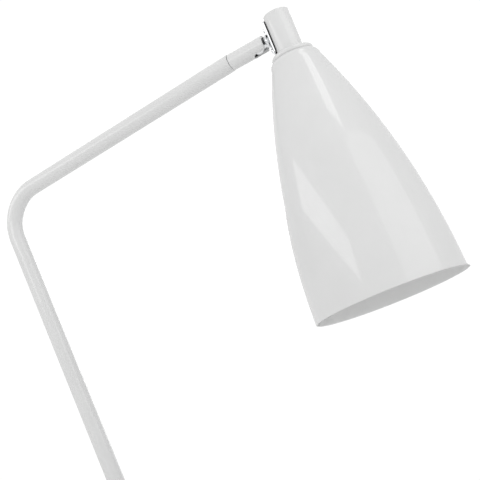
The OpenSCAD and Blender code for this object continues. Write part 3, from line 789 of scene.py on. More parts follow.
def placed_copies_tree() -> bpy.types.NodeTree:
    """Tree that sets a copy of a master piece on each point, facing and turned as the point says."""
    recipe = Recipe("placed_copies")
    master = recipe.size("Master", "Object")
    scale = recipe.size("Scale")
    copy = recipe.node("GeometryNodeObjectInfo", Object=master)
    facing = recipe.node("GeometryNodeInputNamedAttribute", {"data_type": "FLOAT_VECTOR"}, Name="facing")
    spin = recipe.node("GeometryNodeInputNamedAttribute", {"data_type": "FLOAT"}, Name="spin")
    aligned = recipe.node("FunctionNodeAlignRotationToVector", {"axis": "Z"}, Vector=facing.outputs[0])
    about = recipe.node("ShaderNodeCombineXYZ", Z=spin.outputs[0])
    own = recipe.node("FunctionNodeEulerToRotation", Euler=about.outputs[0])
    turn = recipe.node(
        "FunctionNodeRotateRotation",
        {"rotation_space": "LOCAL"},
        Rotation=aligned.outputs["Rotation"],
        Rotate_By=own.outputs["Rotation"],
    )
    points = recipe.node("GeometryNodeMeshToPoints", Mesh=recipe.source.outputs["Geometry"])
    copies = recipe.node(
        "GeometryNodeInstanceOnPoints",
        Points=points.outputs["Points"],
        Instance=copy.outputs["Geometry"],
        Rotation=turn.outputs["Rotation"],
        Scale=scale,
    )
    return recipe.finish(copies.outputs["Instances"])


def ribbed_tree() -> bpy.types.NodeTree:
    """Tree that sets straight round ribs side by side round an axis, each sunk into the wall."""
    recipe = Recipe("ribs_round")
    count = recipe.size("Ribs", "Int")
    radius = recipe.size("Circle radius")
    thick = recipe.size("Rib radius")
    length = recipe.size("Length")
    circle = recipe.node("GeometryNodeMeshCircle", Vertices=count, Radius=radius)
    rod = recipe.node(
        "GeometryNodeMeshCylinder", Vertices=10, Side_Segments=1, Radius=thick, Depth=length
    )
    copies = recipe.node(
        "GeometryNodeInstanceOnPoints", Points=circle.outputs["Mesh"], Instance=rod.outputs["Mesh"]
    )
    return recipe.finish(copies.outputs["Instances"])


def grown(
    name: str, seed: bpy.types.Mesh, tree: bpy.types.NodeTree, finish: str, values: dict[str, object]
) -> bpy.types.Object:
    """Runs a tree on a mesh and keeps the result as a plain piece.

    Args:
        name: The piece's name.
        seed: Mesh that the tree starts from, in metres.
        tree: The tree.
        finish: Name of the piece's finish.
        values: The tree's other inputs, by name.

    Returns:
        The piece, with no modifier left on it.
    """
    piece = bpy.data.objects.new(name, seed)
    bpy.context.scene.collection.objects.link(piece)
    modifier = piece.modifiers.new("shape", "NODES")
    modifier.node_group = tree
    wanted = dict(values, Finish=material(finish))
    for item in tree.interface.items_tree:
        if item.in_out == "INPUT" and item.name in wanted:
            modifier[item.identifier] = wanted[item.name]
    settle(piece)
    return piece


@dataclass(frozen=True)
class Place:
    """Where a copy goes: a point and a direction in millimetres, and a turn about that direction."""

    at: Vector
    facing: Vector
    spin: float = 0.0


def copies_of(name: str, master: bpy.types.Object, places: Sequence[Place], finish: str) -> bpy.types.Object:
    """Sets copies of a master piece at places, as one piece.

    Args:
        name: The new piece's name.
        master: The master, drawn at the origin with Z outwards, which is used up.
        places: Where the copies go.
        finish: Name of the finish.

    Returns:
        One mesh with all the copies.
    """
    seed = bpy.data.meshes.new(name)
    seed.from_pydata([p.at * MM for p in places], [], [])
    facing = seed.attributes.new("facing", "FLOAT_VECTOR", "POINT")
    for index, place in enumerate(places):
        facing.data[index].vector = place.facing
    spin = seed.attributes.new("spin", "FLOAT", "POINT")
    for index, place in enumerate(places):
        spin.data[index].value = math.radians(place.spin)
    piece = grown(name, seed, placed_copies_tree(), finish, {"Master": master, "Scale": 1.0})
    bpy.data.objects.remove(master)
    return piece


# ---------------------------------------------------------------- hardware


@dataclass(frozen=True)
class DomeScrew:
    """A button-head screw with a hexagon socket, drawn at the origin with its head along +Z."""

    head_d: float
    head_h: float
    shank_d: float
    length: float
    key: float

    def build(self, finish: str) -> bpy.types.Object:
        """Builds the master screw.

        Args:
            finish: Name of its finish.

        Returns:
            The screw, whose head stands on the XY plane.
        """
        head_r = self.head_d / 2
        lip = self.head_h * 0.3
        dome = [
            (head_r * math.sin(a), lip + (self.head_h - lip) * math.cos(a))
            for a in (math.radians(90 - step * 9) for step in range(11))
        ]
        shank_r, point, edge = self.shank_d / 2, 0.4, 0.15
        outline = [(0.0, -self.length), (shank_r - point, -self.length), (shank_r, point - self.length)]
        outline += [(shank_r, 0.0), (head_r - edge, 0.0), (head_r, edge)]
        screw = lathe("screw", outline + dome, AT_WORLD, finish, 40, closed=False)
        carve(screw, prism(self.key / 2, self.head_h * 0.4, self.head_h + 1, AT_WORLD, 6), "DIFFERENCE")
        return screw


# ---------------------------------------------------------------- sub-assemblies


@dataclass
class Assembly:
    """A sub-assembly of the lamp, which builds its pieces and says what each rides on and stands for."""

    nodes: dict[str, bpy.types.Object]

    def keep(self, piece: bpy.types.Object, body: Body, slot: str, *nodes: str) -> bpy.types.Object:
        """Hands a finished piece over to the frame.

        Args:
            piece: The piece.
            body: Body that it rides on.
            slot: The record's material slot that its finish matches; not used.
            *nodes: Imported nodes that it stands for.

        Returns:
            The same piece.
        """
        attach(piece, body.value)
        if nodes:
            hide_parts(*nodes)
        LOG.info("%s rides on %s, %d faces", piece.name, body.value, len(piece.data.polygons))
        return piece

    def dress(self, finish: str, *nodes: str) -> None:
        """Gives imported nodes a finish."""
        for name in nodes:
            mesh = self.nodes[name].data
            mesh.materials.clear()
            mesh.materials.append(material(finish))
            LOG.info("%s takes %s", name, finish)

    def refined(self, node: str, body: Body, finish: str, edge_mm: float) -> None:
        """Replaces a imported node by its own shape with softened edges.

        Args:
            node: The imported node.
            body: Body that it rides on.
            finish: Name of its finish.
            edge_mm: Width of the softened edges.
        """
        piece = merged_copy(self.nodes[node], f"{node}_fine", finish, edge_mm)
        self.keep(piece, body, FINISHES[finish].slot, node)


@dataclass
class Base(Assembly):
    """The weighted base: cover, foot, fasteners, cord gland, switch and terminals."""

    cover_d: float = 190.0
    cover_h: float = 22.0
    cover_wall: float = 1.2
    cover_edge: float = 5.0
    skirt_z: float = 0.8
    pad_inset: float = 6.0
    pad_t: float = 2.0
    bush_d: float = 20.1
    stop_at: float = 19.0
    switch_x: float = 58.0
    switch_hole_d: float = 20.0
    bezel_d: float = 25.0
    bezel_h: float = 2.0
    button_d: float = 12.0
    gland_z: float = 10.5
    gland_bore: float = 6.6
    gland_wall: float = 1.7
    gland_len: float = 11.0
    flange_t: float = 2.0
    fit: float = 0.05
    screw_ring: float = 64.0
    sink_r: float = 4.25
    stop_hole_r: float = 2.05
    button_rise: float = 3.4
    button_flange: float = 2.6
    button_depth: float = 6.0
    dish_depth: float = 0.55
    dish_share: float = 0.74

    def build(self) -> None:
        """Builds the base's pieces."""
        self.build_cover()
        self.build_foot()
        self.build_gland()
        self.build_switch()
        self.dress("zinc_steel", "bottom_plate", "swing_stop", "terminal_screws")
        self.dress("cast_iron", "base_weight")
        self.dress("turned_brass", "pivot_bush", "terminal_barrels")
        self.dress("natural_nylon", "terminal_block")
        self.dress("black_moulding", "gland_nut", "switch_body")
        self.dress("lead_sheathing", "base_lead")

    def build_cover(self) -> None:
        """Builds the pressed cover, with its rolled edge and its holes."""
        outer = self.cover_d / 2
        inner = outer - self.cover_wall
        ceiling = self.cover_h - self.cover_wall
        hole = self.bush_d / 2
        edge = self.cover_edge
        outline = rounded(
            [
                (hole, ceiling, 0),
                (hole, self.cover_h, 0.2),
                (outer, self.cover_h, edge),
                (outer, self.skirt_z, 0.5),
                (inner, self.skirt_z, 0.5),
                (inner, ceiling, edge - self.cover_wall),
            ],
            steps=12,
        )
        cover = lathe("cover_shell", outline, AT_WORLD, "gloss_enamel", 192)
        for x, radius in ((self.switch_x, self.switch_hole_d / 2), (self.stop_at, self.stop_hole_r)):
            place = Matrix.Translation((x, 0.0, 0.0))
            carve(cover, prism(radius, ceiling - 1, self.cover_h + 1, place), "DIFFERENCE")
        side = Matrix.Translation((-outer - 1, 0.0, self.gland_z)) @ Matrix.Rotation(math.pi / 2, 4, "Y")
        carve(cover, prism(self.gland_bore / 2 + self.gland_wall + self.fit, 0, 5, side), "DIFFERENCE")
        self.keep(cover, Body.BASE, "white_paint", "base_cover")

    def build_foot(self) -> None:
        """Builds the foam foot and the three screws sunk in it."""
        outer = self.cover_d / 2 - self.pad_inset
        outline = rounded([(0, self.pad_t, 0), (outer, self.pad_t, 0.2), (outer, 0, 0.7), (0, 0, 0)])
        foot = lathe("foot_disc", outline, AT_WORLD, "foot_foam", 160, closed=False)
        places = []
        for angle in (60.0, 180.0, 300.0):
            at = Matrix.Rotation(math.radians(angle), 3, "Z") @ Vector((self.screw_ring, 0.0, self.pad_t))
            places.append(Place(at, Vector((0.0, 0.0, -1.0)), angle / 3))
            below = Matrix.Translation((at.x, at.y, 0.0))
            carve(foot, prism(self.sink_r, -1, self.pad_t + 1, below), "DIFFERENCE")
        self.keep(foot, Body.BASE, "foot_rubber", "foot_pad")
        master = DomeScrew(head_d=7.5, head_h=1.5, shank_d=4.0, length=9.8, key=2.4).build("zinc_steel")
        self.keep(copies_of("foot_screws", master, places, "zinc_steel"), Body.BASE, "steel", "plate_screws")

    def build_gland(self) -> None:
        """Builds the moulded gland that the cord would leave through."""
        bore = self.gland_bore / 2
        outline = rounded(
            [
                (bore, 5, 0),
                (bore, self.gland_len, 0.4),
                (bore + self.gland_wall, self.gland_len, 0.5),
                (bore + self.gland_wall, self.flange_t, 0.3),
                (bore + 3.2, self.flange_t, 0.2),
                (bore + 3.2, 0.9, 0.6),
                (bore + 2.2, 0, 0.5),
                (bore + 0.9, 0, 0.6),
                (bore, 1.2, 0.8),
            ]
        )
        outside = Vector((-self.cover_d / 2 - self.flange_t, 0.0, self.gland_z))
        place = Matrix.Translation(outside) @ Matrix.Rotation(math.pi / 2, 4, "Y")
        gland = lathe("gland_bush", outline, place, "black_moulding", 64)
        self.keep(gland, Body.BASE, "black_plastic", "cord_gland")

    def build_switch(self) -> None:
        """Builds the switch's bezel and its dished button."""
        place = Matrix.Translation((self.switch_x, 0.0, 0.0))
        hole = self.button_d / 2 + self.fit
        top = self.cover_h + self.bezel_h
        bezel_r = self.bezel_d / 2
        outline = rounded(
            [
                (hole, self.cover_h, 0),
                (hole, top - 0.5, 0.5),
                (hole + 1.0, top, 0.5),
                (bezel_r - 2.4, top, 1.5),
                (bezel_r, self.cover_h + 0.5, 0.3),
                (bezel_r, self.cover_h, 0),
            ]
        )
        bezel = lathe("switch_collar", outline, place, "black_moulding", 96)
        self.keep(bezel, Body.BASE, "black_plastic", "switch_bezel")
        radius = self.button_d / 2
        face = top + self.button_rise
        dish_r = radius * self.dish_share
        shares = [(8 - step) / 8 for step in range(9)]
        dish = [(dish_r * t, face - self.dish_depth + self.dish_depth * t**2) for t in shares]
        shank, foot, flange = radius - 2, self.cover_h - self.button_depth, self.cover_h - self.button_flange
        outline = [(0, foot), (shank, foot), (shank, flange)]
        outline += rounded([(radius, flange, 0), (radius, face, 1.0), (dish_r, face, 0)]) + dish[1:]
        button = lathe("switch_cap", outline, place, "button_moulding", 72, closed=False)
        self.keep(button, Body.BUTTON, "button_plastic", "switch_button")


@dataclass
class Arm(Assembly):
    """The hub, its pivot and the bent tube that swings on it."""

    hub_d: float = 52.0
    hub_z: float = 23.1
    rim_h: float = 4.0
    cone_h: float = 6.0
    boss_d: float = 25.2
    socket_len: float = 28.0
    tube_wall: float = 1.2
    stop_r: float = 19.0
    stop_w: float = 4.7
    stop_h: float = 2.6
    swing_half: float = 159.0
    spindle_hole_r: float = 6.05
    spindle_hole_h: float = 7.4
    lead_hole_r: float = 3.5
    set_screw_r: float = 2.55
    set_screw_at: float = 14.0
    cast_grain: float = 0.75

    def build(self) -> None:
        """Builds the arm's pieces."""
        self.build_hub()
        self.build_tube()
        self.refined("set_screw", Body.ARM, "black_oxide", 0.15)
        self.dress("natural_nylon", "friction_washer")
        self.dress("zinc_steel", "spindle", "spring_washer", "spindle_nut", "tip_insert")
        self.dress("lead_sheathing", "arm_lead")

    def build_hub(self) -> None:
        """Builds the cast hub, whose boss flows into its disc, and bores it."""
        rim = self.hub_d / 2
        low = self.hub_z
        waist = self.boss_d / 2 + 2
        disc = rounded(
            [
                (0, low, 0),
                (rim, low, 0.4),
                (rim, low + self.rim_h, 1.2),
                (waist, low + self.rim_h + self.cone_h, 3.0),
                (0, low + self.rim_h + self.cone_h + 1, 0),
            ]
        )
        hub = lathe("hub_casting", disc, AT_WORLD, "gloss_enamel", 96, closed=False)
        side, low_end, top = self.boss_d / 2, -20, self.socket_len
        boss = rounded([(0, low_end, 0), (side, low_end, 0), (side, top, 1.4), (0, top, 0)])
        carve(hub, lathe("boss", boss, AT_FOOT, "gloss_enamel", 96, closed=False), "UNION")
        wide = self.hub_d
        carve(hub, block((-wide, -wide, low - 60), (wide, wide, low), AT_WORLD), "DIFFERENCE")
        remesh = hub.modifiers.new("cast", "REMESH")
        remesh.mode = "VOXEL"
        remesh.voxel_size = self.cast_grain * MM
        smooth = hub.modifiers.new("flow", "LAPLACIANSMOOTH")
        smooth.iterations = 6
        smooth.lambda_factor = 1.0
        settle(hub)
        hub.data.materials.clear()
        hub.data.materials.append(material("gloss_enamel"))
        carve(hub, prism(SIZES.tube_d / 2 + 0.05, 0, self.socket_len + 3, AT_FOOT), "DIFFERENCE")
        carve(hub, prism(self.spindle_hole_r, low - 1, low + self.spindle_hole_h, AT_WORLD), "DIFFERENCE")
        carve(hub, prism(self.lead_hole_r, low, SIZES.foot_z + 2, AT_WORLD), "DIFFERENCE")
        carve(hub, self.stop_groove(), "DIFFERENCE")
        across = Matrix.Translation((0, 0, self.set_screw_at)) @ Matrix.Rotation(-math.pi / 2, 4, "Y")
        carve(hub, prism(self.set_screw_r, 6, self.boss_d, AT_FOOT @ across), "DIFFERENCE")
        self.keep(hub, Body.ARM, "white_paint", "hub")

    def stop_groove(self) -> bpy.types.Object:
        """The groove under the hub that the stop pin runs in."""
        steps = 72
        low, high = self.hub_z - 1, self.hub_z + self.stop_h
        near, far = self.stop_r - self.stop_w / 2, self.stop_r + self.stop_w / 2
        section = ((near, low), (far, low), (far, high), (near, high))
        rings = []
        for step in range(steps + 1):
            angle = math.radians(-self.swing_half + 2 * self.swing_half * step / steps)
            rings.append([Vector((r * math.cos(angle), r * math.sin(angle), z)) for r, z in section])
        return piece_from("groove", loft(rings, closed=False), AT_WORLD, [])

    def build_tube(self) -> None:
        """Builds the bent tube, swept along its path."""
        turn = 90 + SIZES.stem_lean - SIZES.arm_rise
        tangent = SIZES.bend_r * math.tan(math.radians(turn / 2))
        up = AT_FOOT.to_3x3() @ Vector((0, 0, 1))
        along = AT_CORNER.to_3x3() @ Vector((0, 0, 1))
        centre = SIZES.corner + along * tangent + AT_CORNER.to_3x3() @ Vector((SIZES.bend_r, 0, 0))
        start = SIZES.corner - up * tangent - centre
        steps = 48
        path = [AT_FOOT.translation.copy()]
        for step in range(steps + 1):
            path.append(centre + Matrix.Rotation(math.radians(turn * step / steps), 3, "Y") @ start)
        path.append(SIZES.sleeve_foot - along * SIZES.seam_gap)
        seed = bpy.data.meshes.new("bent_tube")
        seed.from_pydata([p * MM for p in path], [(i, i + 1) for i in range(len(path) - 1)], [])
        values = {"Outer radius": SIZES.tube_d / 2 * MM, "Wall": self.tube_wall * MM, "Segments": 64}
        tube = grown("bent_tube", seed, swept_tube_tree(), "gloss_enamel", values)
        soften(tube, 0.25)
        self.keep(tube, Body.ARM, "white_paint", "arm_tube")


@dataclass
class Swivel(Assembly):
    """The slotted sleeve, what it holds, and the ball with its hollow stud."""

    ball_r: float = 6.3
    socket_r: float = 6.5
    collar_r: float = 7.8
    mouth_r: float = 5.9
    mouth_edge: float = 1.8
    slot_w: float = 9.2
    slot_end: float = -1.1
    neck_r: float = 4.0
    shoulder_r: float = 6.3
    shoulder_x: float = 12.4
    stud_r: float = 4.0
    stud_end: float = 24.4
    bore_r: float = 2.5
    screw_z: float = -22.0
    screw_hole_r: float = 1.55
    bore_z: float = -5.0
    flange_t: float = 1.4
    flare_len: float = 5.2

    def build(self) -> None:
        """Builds the swivel's pieces."""
        self.build_sleeve()
        self.build_ball()
        self.refined("collar_screw", Body.COLLAR, "black_oxide", 0.12)
        # The ball seat is dark plastic, and its near-black is partly painted shade: it darkens the slot where
        # the sleeve's hollow lies in shade
        self.dress("black_moulding", "ball_seat")
        self.dress("zinc_steel", "disc_springs", "seat_nut", "stud_washer", "stud_nut")
        self.dress("lead_sheathing", "collar_lead", "stud_lead")

    def build_sleeve(self) -> None:
        """Builds the sleeve round the ball, with its rounded mouth and its slot."""
        mouth_angle = math.acos(self.mouth_r / self.socket_r)
        turns = [mouth_angle * (1 - step / 10) for step in range(11)]
        hollow = [(self.socket_r * math.cos(a), self.socket_r * math.sin(a)) for a in turns]
        back, front = -SIZES.collar_back, SIZES.collar_front
        outside = rounded(
            [
                (self.socket_r, self.bore_z, 0),
                (self.socket_r, back, 0.25),
                (self.collar_r, back, 0.35),
                (self.collar_r, front, self.mouth_edge),
                (self.mouth_r, front, 0.3),
                (hollow[0][0], hollow[0][1], 0),
            ],
            steps=8,
        )
        sleeve = lathe("swivel_sleeve", outside + hollow[1:], AT_BALL, "gloss_enamel", 128)
        half = self.slot_w / 2
        reach = 2 * self.collar_r
        carve(sleeve, block((0, -half, self.slot_end), (reach, half, front + reach), AT_BALL), "DIFFERENCE")
        across = AT_BALL @ Matrix.Translation((0, 0, self.slot_end)) @ Matrix.Rotation(math.pi / 2, 4, "Y")
        carve(sleeve, prism(half, 0, reach, across), "DIFFERENCE")
        side = AT_BALL @ Matrix.Translation((0, 0, self.screw_z)) @ Matrix.Rotation(-math.pi / 2, 4, "X")
        carve(sleeve, prism(self.screw_hole_r, 0, reach, side), "DIFFERENCE")
        soften(sleeve, 0.3)
        self.keep(sleeve, Body.COLLAR, "white_paint", "swivel_collar")

    def build_ball(self) -> None:
        """Builds the ball, its flared neck and the hollow stud as one turned piece."""
        first = math.asin(self.bore_r / self.ball_r)
        last = math.pi - math.asin(self.neck_r / self.ball_r)
        turns = [first + (last - first) * step / 28 for step in range(29)]
        globe = [(self.ball_r * math.sin(a), -self.ball_r * math.cos(a)) for a in turns]
        flare = self.shoulder_x - self.flange_t
        shank = rounded(
            [
                (globe[-1][0], globe[-1][1], 0),
                (self.neck_r, self.shoulder_x - self.flare_len, 2.0),
                (self.shoulder_r, flare, 0.5),
                (self.shoulder_r, self.shoulder_x, 0.25),
                (self.stud_r, self.shoulder_x, 0),
                (self.stud_r, self.stud_end, 0.4),
                (self.bore_r, self.stud_end, 0.3),
                (self.bore_r, 0, 0),
            ]
        )
        ball = lathe("ball_stud", globe + shank[1:], AT_STUD, "chrome_plate", 96)
        self.keep(ball, Body.BALL, "chrome", "swivel_ball")


@dataclass
class Head(Assembly):
    """The cap, ring and shade, and the saddle that holds them on the stud."""

    cap_r: float = 12.0
    cap_wall: float = 1.2
    floor_t: float = 3.0
    lid_t: float = 2.5
    gasket_t: float = 1.2
    saddle_t: float = 1.3
    saddle_len: float = 31.5
    saddle_wrap: float = 38.0
    saddle_pitch: float = 10.2
    ring_r: float = 19.5
    ring_h: float = 5.5
    ring_edge: float = 2.4
    nipple_r: float = 5.05
    shade_h: float = 221.7
    shade_top_r: float = 24.0
    shade_rim_r: float = 67.0
    shade_bulge: float = 10.0
    shade_wall: float = 0.8
    shoulder_drop: float = 6.0
    shoulder_edge: float = 4.0
    ring_step: float = 0.2
    cap_hole_r: float = 4.35
    plate_hole_r: float = 4.05
    screw_hole_r: float = 1.55

    def build(self) -> None:
        """Builds the head's pieces."""
        self.build_cap()
        self.build_saddle()
        self.build_shade()
        self.dress("zinc_steel", "saddle_washer")
        self.dress("turned_brass", "nipple", "nipple_nut")
        self.dress("lead_sheathing", "head_lead")

    def stud_tool(self, radius: float, offset: float = 0.0) -> bpy.types.Object:
        """A bar along the stud that bores the cap and the saddle.

        Args:
            radius: The bar's radius.
            offset: Its distance from the stud along the cap.

        Returns:
            The bar.
        """
        return prism(radius, -1, SIZES.head_offset, AT_STUD @ Matrix.Translation((offset, 0, 0)))

    def pierce(self, piece: bpy.types.Object, radius: float) -> None:
        """Bores the stud's hole and the two screws' holes through a piece.

        Args:
            piece: The piece.
            radius: Radius of the stud's hole.
        """
        carve(piece, self.stud_tool(radius), "DIFFERENCE")
        for side in (-1, 1):
            carve(piece, self.stud_tool(self.screw_hole_r, side * self.saddle_pitch), "DIFFERENCE")

    def build_cap(self) -> None:
        """Builds the cap, its lid and the stepped ring."""
        top = -SIZES.cap_len
        bore = self.cap_r - self.cap_wall
        outline = rounded(
            [
                (self.nipple_r, 0, 0),
                (self.nipple_r, -self.floor_t, 0),
                (bore, -self.floor_t, 0.5),
                (bore, top, 0.25),
                (self.cap_r, top, 0.5),
                (self.cap_r, 0, 0),
            ]
        )
        cap = lathe("cap_shell", outline, AT_NECK, "gloss_enamel", 128)
        self.pierce(cap, self.cap_hole_r)
        self.keep(cap, Body.HEAD, "white_paint", "head_cap")
        lid_r = bore - 0.05
        under = top + self.lid_t
        profile = rounded([(0, top, 0), (lid_r, top, 0.3), (lid_r, under, 0.2), (0, under, 0)])
        lid = lathe("cap_disc", profile, AT_NECK, "gloss_enamel", 96, closed=False)
        self.keep(lid, Body.HEAD, "white_paint", "cap_lid")
        profile = rounded(
            [
                (self.nipple_r, 0, 0),
                (self.cap_r + self.ring_step, 0, 0),
                (self.ring_r, 0, self.ring_edge),
                (self.ring_r, self.ring_h, self.ring_edge),
                (self.nipple_r, self.ring_h, 0),
            ],
            steps=8,
        )
        ring = lathe("step_ring", profile, AT_NECK, "gloss_enamel", 128)
        self.keep(ring, Body.HEAD, "white_paint", "neck_ring")

    def wrapped_plate(
        self, name: str, inner: float, outer: float, corner: float, finish: str, edge_mm: float
    ) -> bpy.types.Object:
        """Builds a plate with round corners that is curved round the cap.

        Args:
            name: The piece's name.
            inner: Radius of its inner face.
            outer: Radius of its outer face.
            corner: Radius of its corners.
            finish: Name of its finish.
            edge_mm: Width of its softened edges, or 0 for none.

        Returns:
            The plate, with its holes.
        """
        columns, rows = 24, 40
        half_v = self.saddle_len / 2
        half_u = math.radians(self.saddle_wrap) * outer
        grid: list[list[Point]] = []
        for row in range(rows + 1):
            v = -half_v * math.cos(math.pi * row / rows)
            cut = max(0.0, abs(v) - half_v + corner)
            width = half_u - corner + math.sqrt(max(0.0, corner**2 - cut**2))
            grid.append([(width * (2 * c / columns - 1) / outer, v) for c in range(columns + 1)])
        work = bmesh.new()
        middle = SIZES.stud_s

        def skin(radius: float) -> list[list[bmesh.types.BMVert]]:
            """One face's vertices at a radius."""
            return [
                [
                    work.verts.new((-radius * math.cos(angle), radius * math.sin(angle), middle + v))
                    for angle, v in line
                ]
                for line in grid
            ]

        near, far = skin(inner), skin(outer)
        for row in range(rows):
            for column in range(columns):
                for sheet in (near, far):
                    a, b = sheet[row], sheet[row + 1]
                    work.faces.new((a[column], a[column + 1], b[column + 1], b[column]))
        sides = [((row, edge), (row + 1, edge)) for row in range(rows) for edge in (0, columns)]
        sides += [((edge, column), (edge, column + 1)) for edge in (0, rows) for column in range(columns)]
        for (i, j), (k, m) in sides:
            work.faces.new((near[i][j], near[k][m], far[k][m], far[i][j]))
        plate = piece_from(name, work, AT_NECK, [finish])
        if edge_mm > 0:
            soften(plate, edge_mm, 3)
        self.pierce(plate, self.plate_hole_r)
        return plate

    def build_saddle(self) -> None:
        """Builds the gasket, the chrome plate over it and its two screws."""
        gap = 0.02
        middle = self.cap_r + self.gasket_t
        outer = middle + self.saddle_t
        # The gasket's near-black colour is painted shade for the gap between the cap and the plate
        gasket = self.wrapped_plate(
            "cap_gasket", self.cap_r + gap, middle - gap, corner=3.2, finish="gasket_painted_shade", edge_mm=0.0
        )
        self.keep(gasket, Body.HEAD, "gasket", "saddle_gasket")
        plate = self.wrapped_plate(
            "clamp_plate", middle, outer, corner=3.0, finish="chrome_plate", edge_mm=0.4
        )
        self.keep(plate, Body.HEAD, "chrome", "saddle_plate")
        seat = SIZES.head_offset - outer
        out = AT_STUD.to_3x3() @ Vector((0, 0, -1))
        places = []
        for side in (-1, 1):
            at = AT_STUD @ Vector((side * self.saddle_pitch, 0, seat))
            places.append(Place(at, out, 20 + 25 * side))
        screw = DomeScrew(head_d=5.4, head_h=2.2, shank_d=3.0, length=outer - 9.0, key=2.0)
        screws = copies_of("clamp_screws", screw.build("chrome_plate"), places, "chrome_plate")
        self.keep(screws, Body.HEAD, "chrome", "saddle_screws")

    def wall(self, inset: float, steps: int = 72) -> list[Point]:
        """The shade's wall from its shoulder to its rim, as a stretch of a large arc.

        Args:
            inset: Distance inside the outer face.
            steps: Segments along it.

        Returns:
            Points (radius, distance below the cap).
        """
        top = self.ring_h + self.shoulder_drop
        rim = self.ring_h + self.shade_h
        across, down = self.shade_rim_r - self.shade_top_r, rim - top
        chord = math.hypot(across, down)
        radius = (chord**2 / 4 + self.shade_bulge**2) / (2 * self.shade_bulge)
        lean = math.atan2(across, down)
        half = math.asin(chord / 2 / radius)
        back = radius - self.shade_bulge
        centre = (
            (self.shade_top_r + self.shade_rim_r) / 2 - back * math.cos(lean),
            (top + rim) / 2 + back * math.sin(lean),
        )
        reach = radius - inset
        turns = [-lean - half + 2 * half * step / steps for step in range(steps + 1)]
        return [(centre[0] + reach * math.cos(a), centre[1] + reach * math.sin(a)) for a in turns]

    def shoulder(self, inset: float, start: Point, steps: int = 14) -> list[Point]:
        """The curve from the shade's flat top into its wall.

        Args:
            inset: Distance inside the outer face.
            start: Where the wall starts.
            steps: Segments along it.

        Returns:
            Points (radius, distance below the cap).
        """
        top = self.ring_h + inset
        flat = (start[0] - self.shoulder_edge + inset / 2, top)
        bend = (start[0] - 1.1, top)
        points = []
        for step in range(steps + 1):
            t = step / steps
            weights = ((1 - t) ** 2, 2 * t * (1 - t), t * t)
            points.append(
                tuple(weights[0] * flat[k] + weights[1] * bend[k] + weights[2] * start[k] for k in (0, 1))
            )
        return points

    def build_shade(self) -> None:
        """Builds the spun shade as one shell, with a rounded rim."""
        rim = self.ring_h + self.shade_h
        outer_wall, inner_wall = self.wall(0.0), self.wall(self.shade_wall)
        outside = [(self.nipple_r, self.ring_h)] + self.shoulder(0.0, outer_wall[0])[:-1] + outer_wall[:-1]
        inside = self.shoulder(self.shade_wall, inner_wall[0])[:-1] + inner_wall
        inside = [p for p in inside if p[1] < rim - 0.5]
        lip_r = self.shade_wall / 2
        middle = (outer_wall[-1][0] - lip_r, rim - lip_r)
        lip = [
            (middle[0] + lip_r * math.cos(math.pi * s / 8), middle[1] + lip_r * math.sin(math.pi * s / 8))
            for s in range(9)
        ]
        outline = outside + lip + inside[::-1] + [(self.nipple_r, self.ring_h + self.shade_wall)]
        slots = [0] * (len(outside) + len(lip) - 3) + [1] * (len(outline) - len(outside) - len(lip) + 3)
        # The inside faces take the lighter inside paint, painted light for the shade's shaded hollow
        shade = lathe("shade_shell", outline, AT_NECK, ("gloss_enamel", "inside_enamel_painted_light"), 256, slots=slots)
        self.keep(shade, Body.HEAD, "white_paint", "shade")


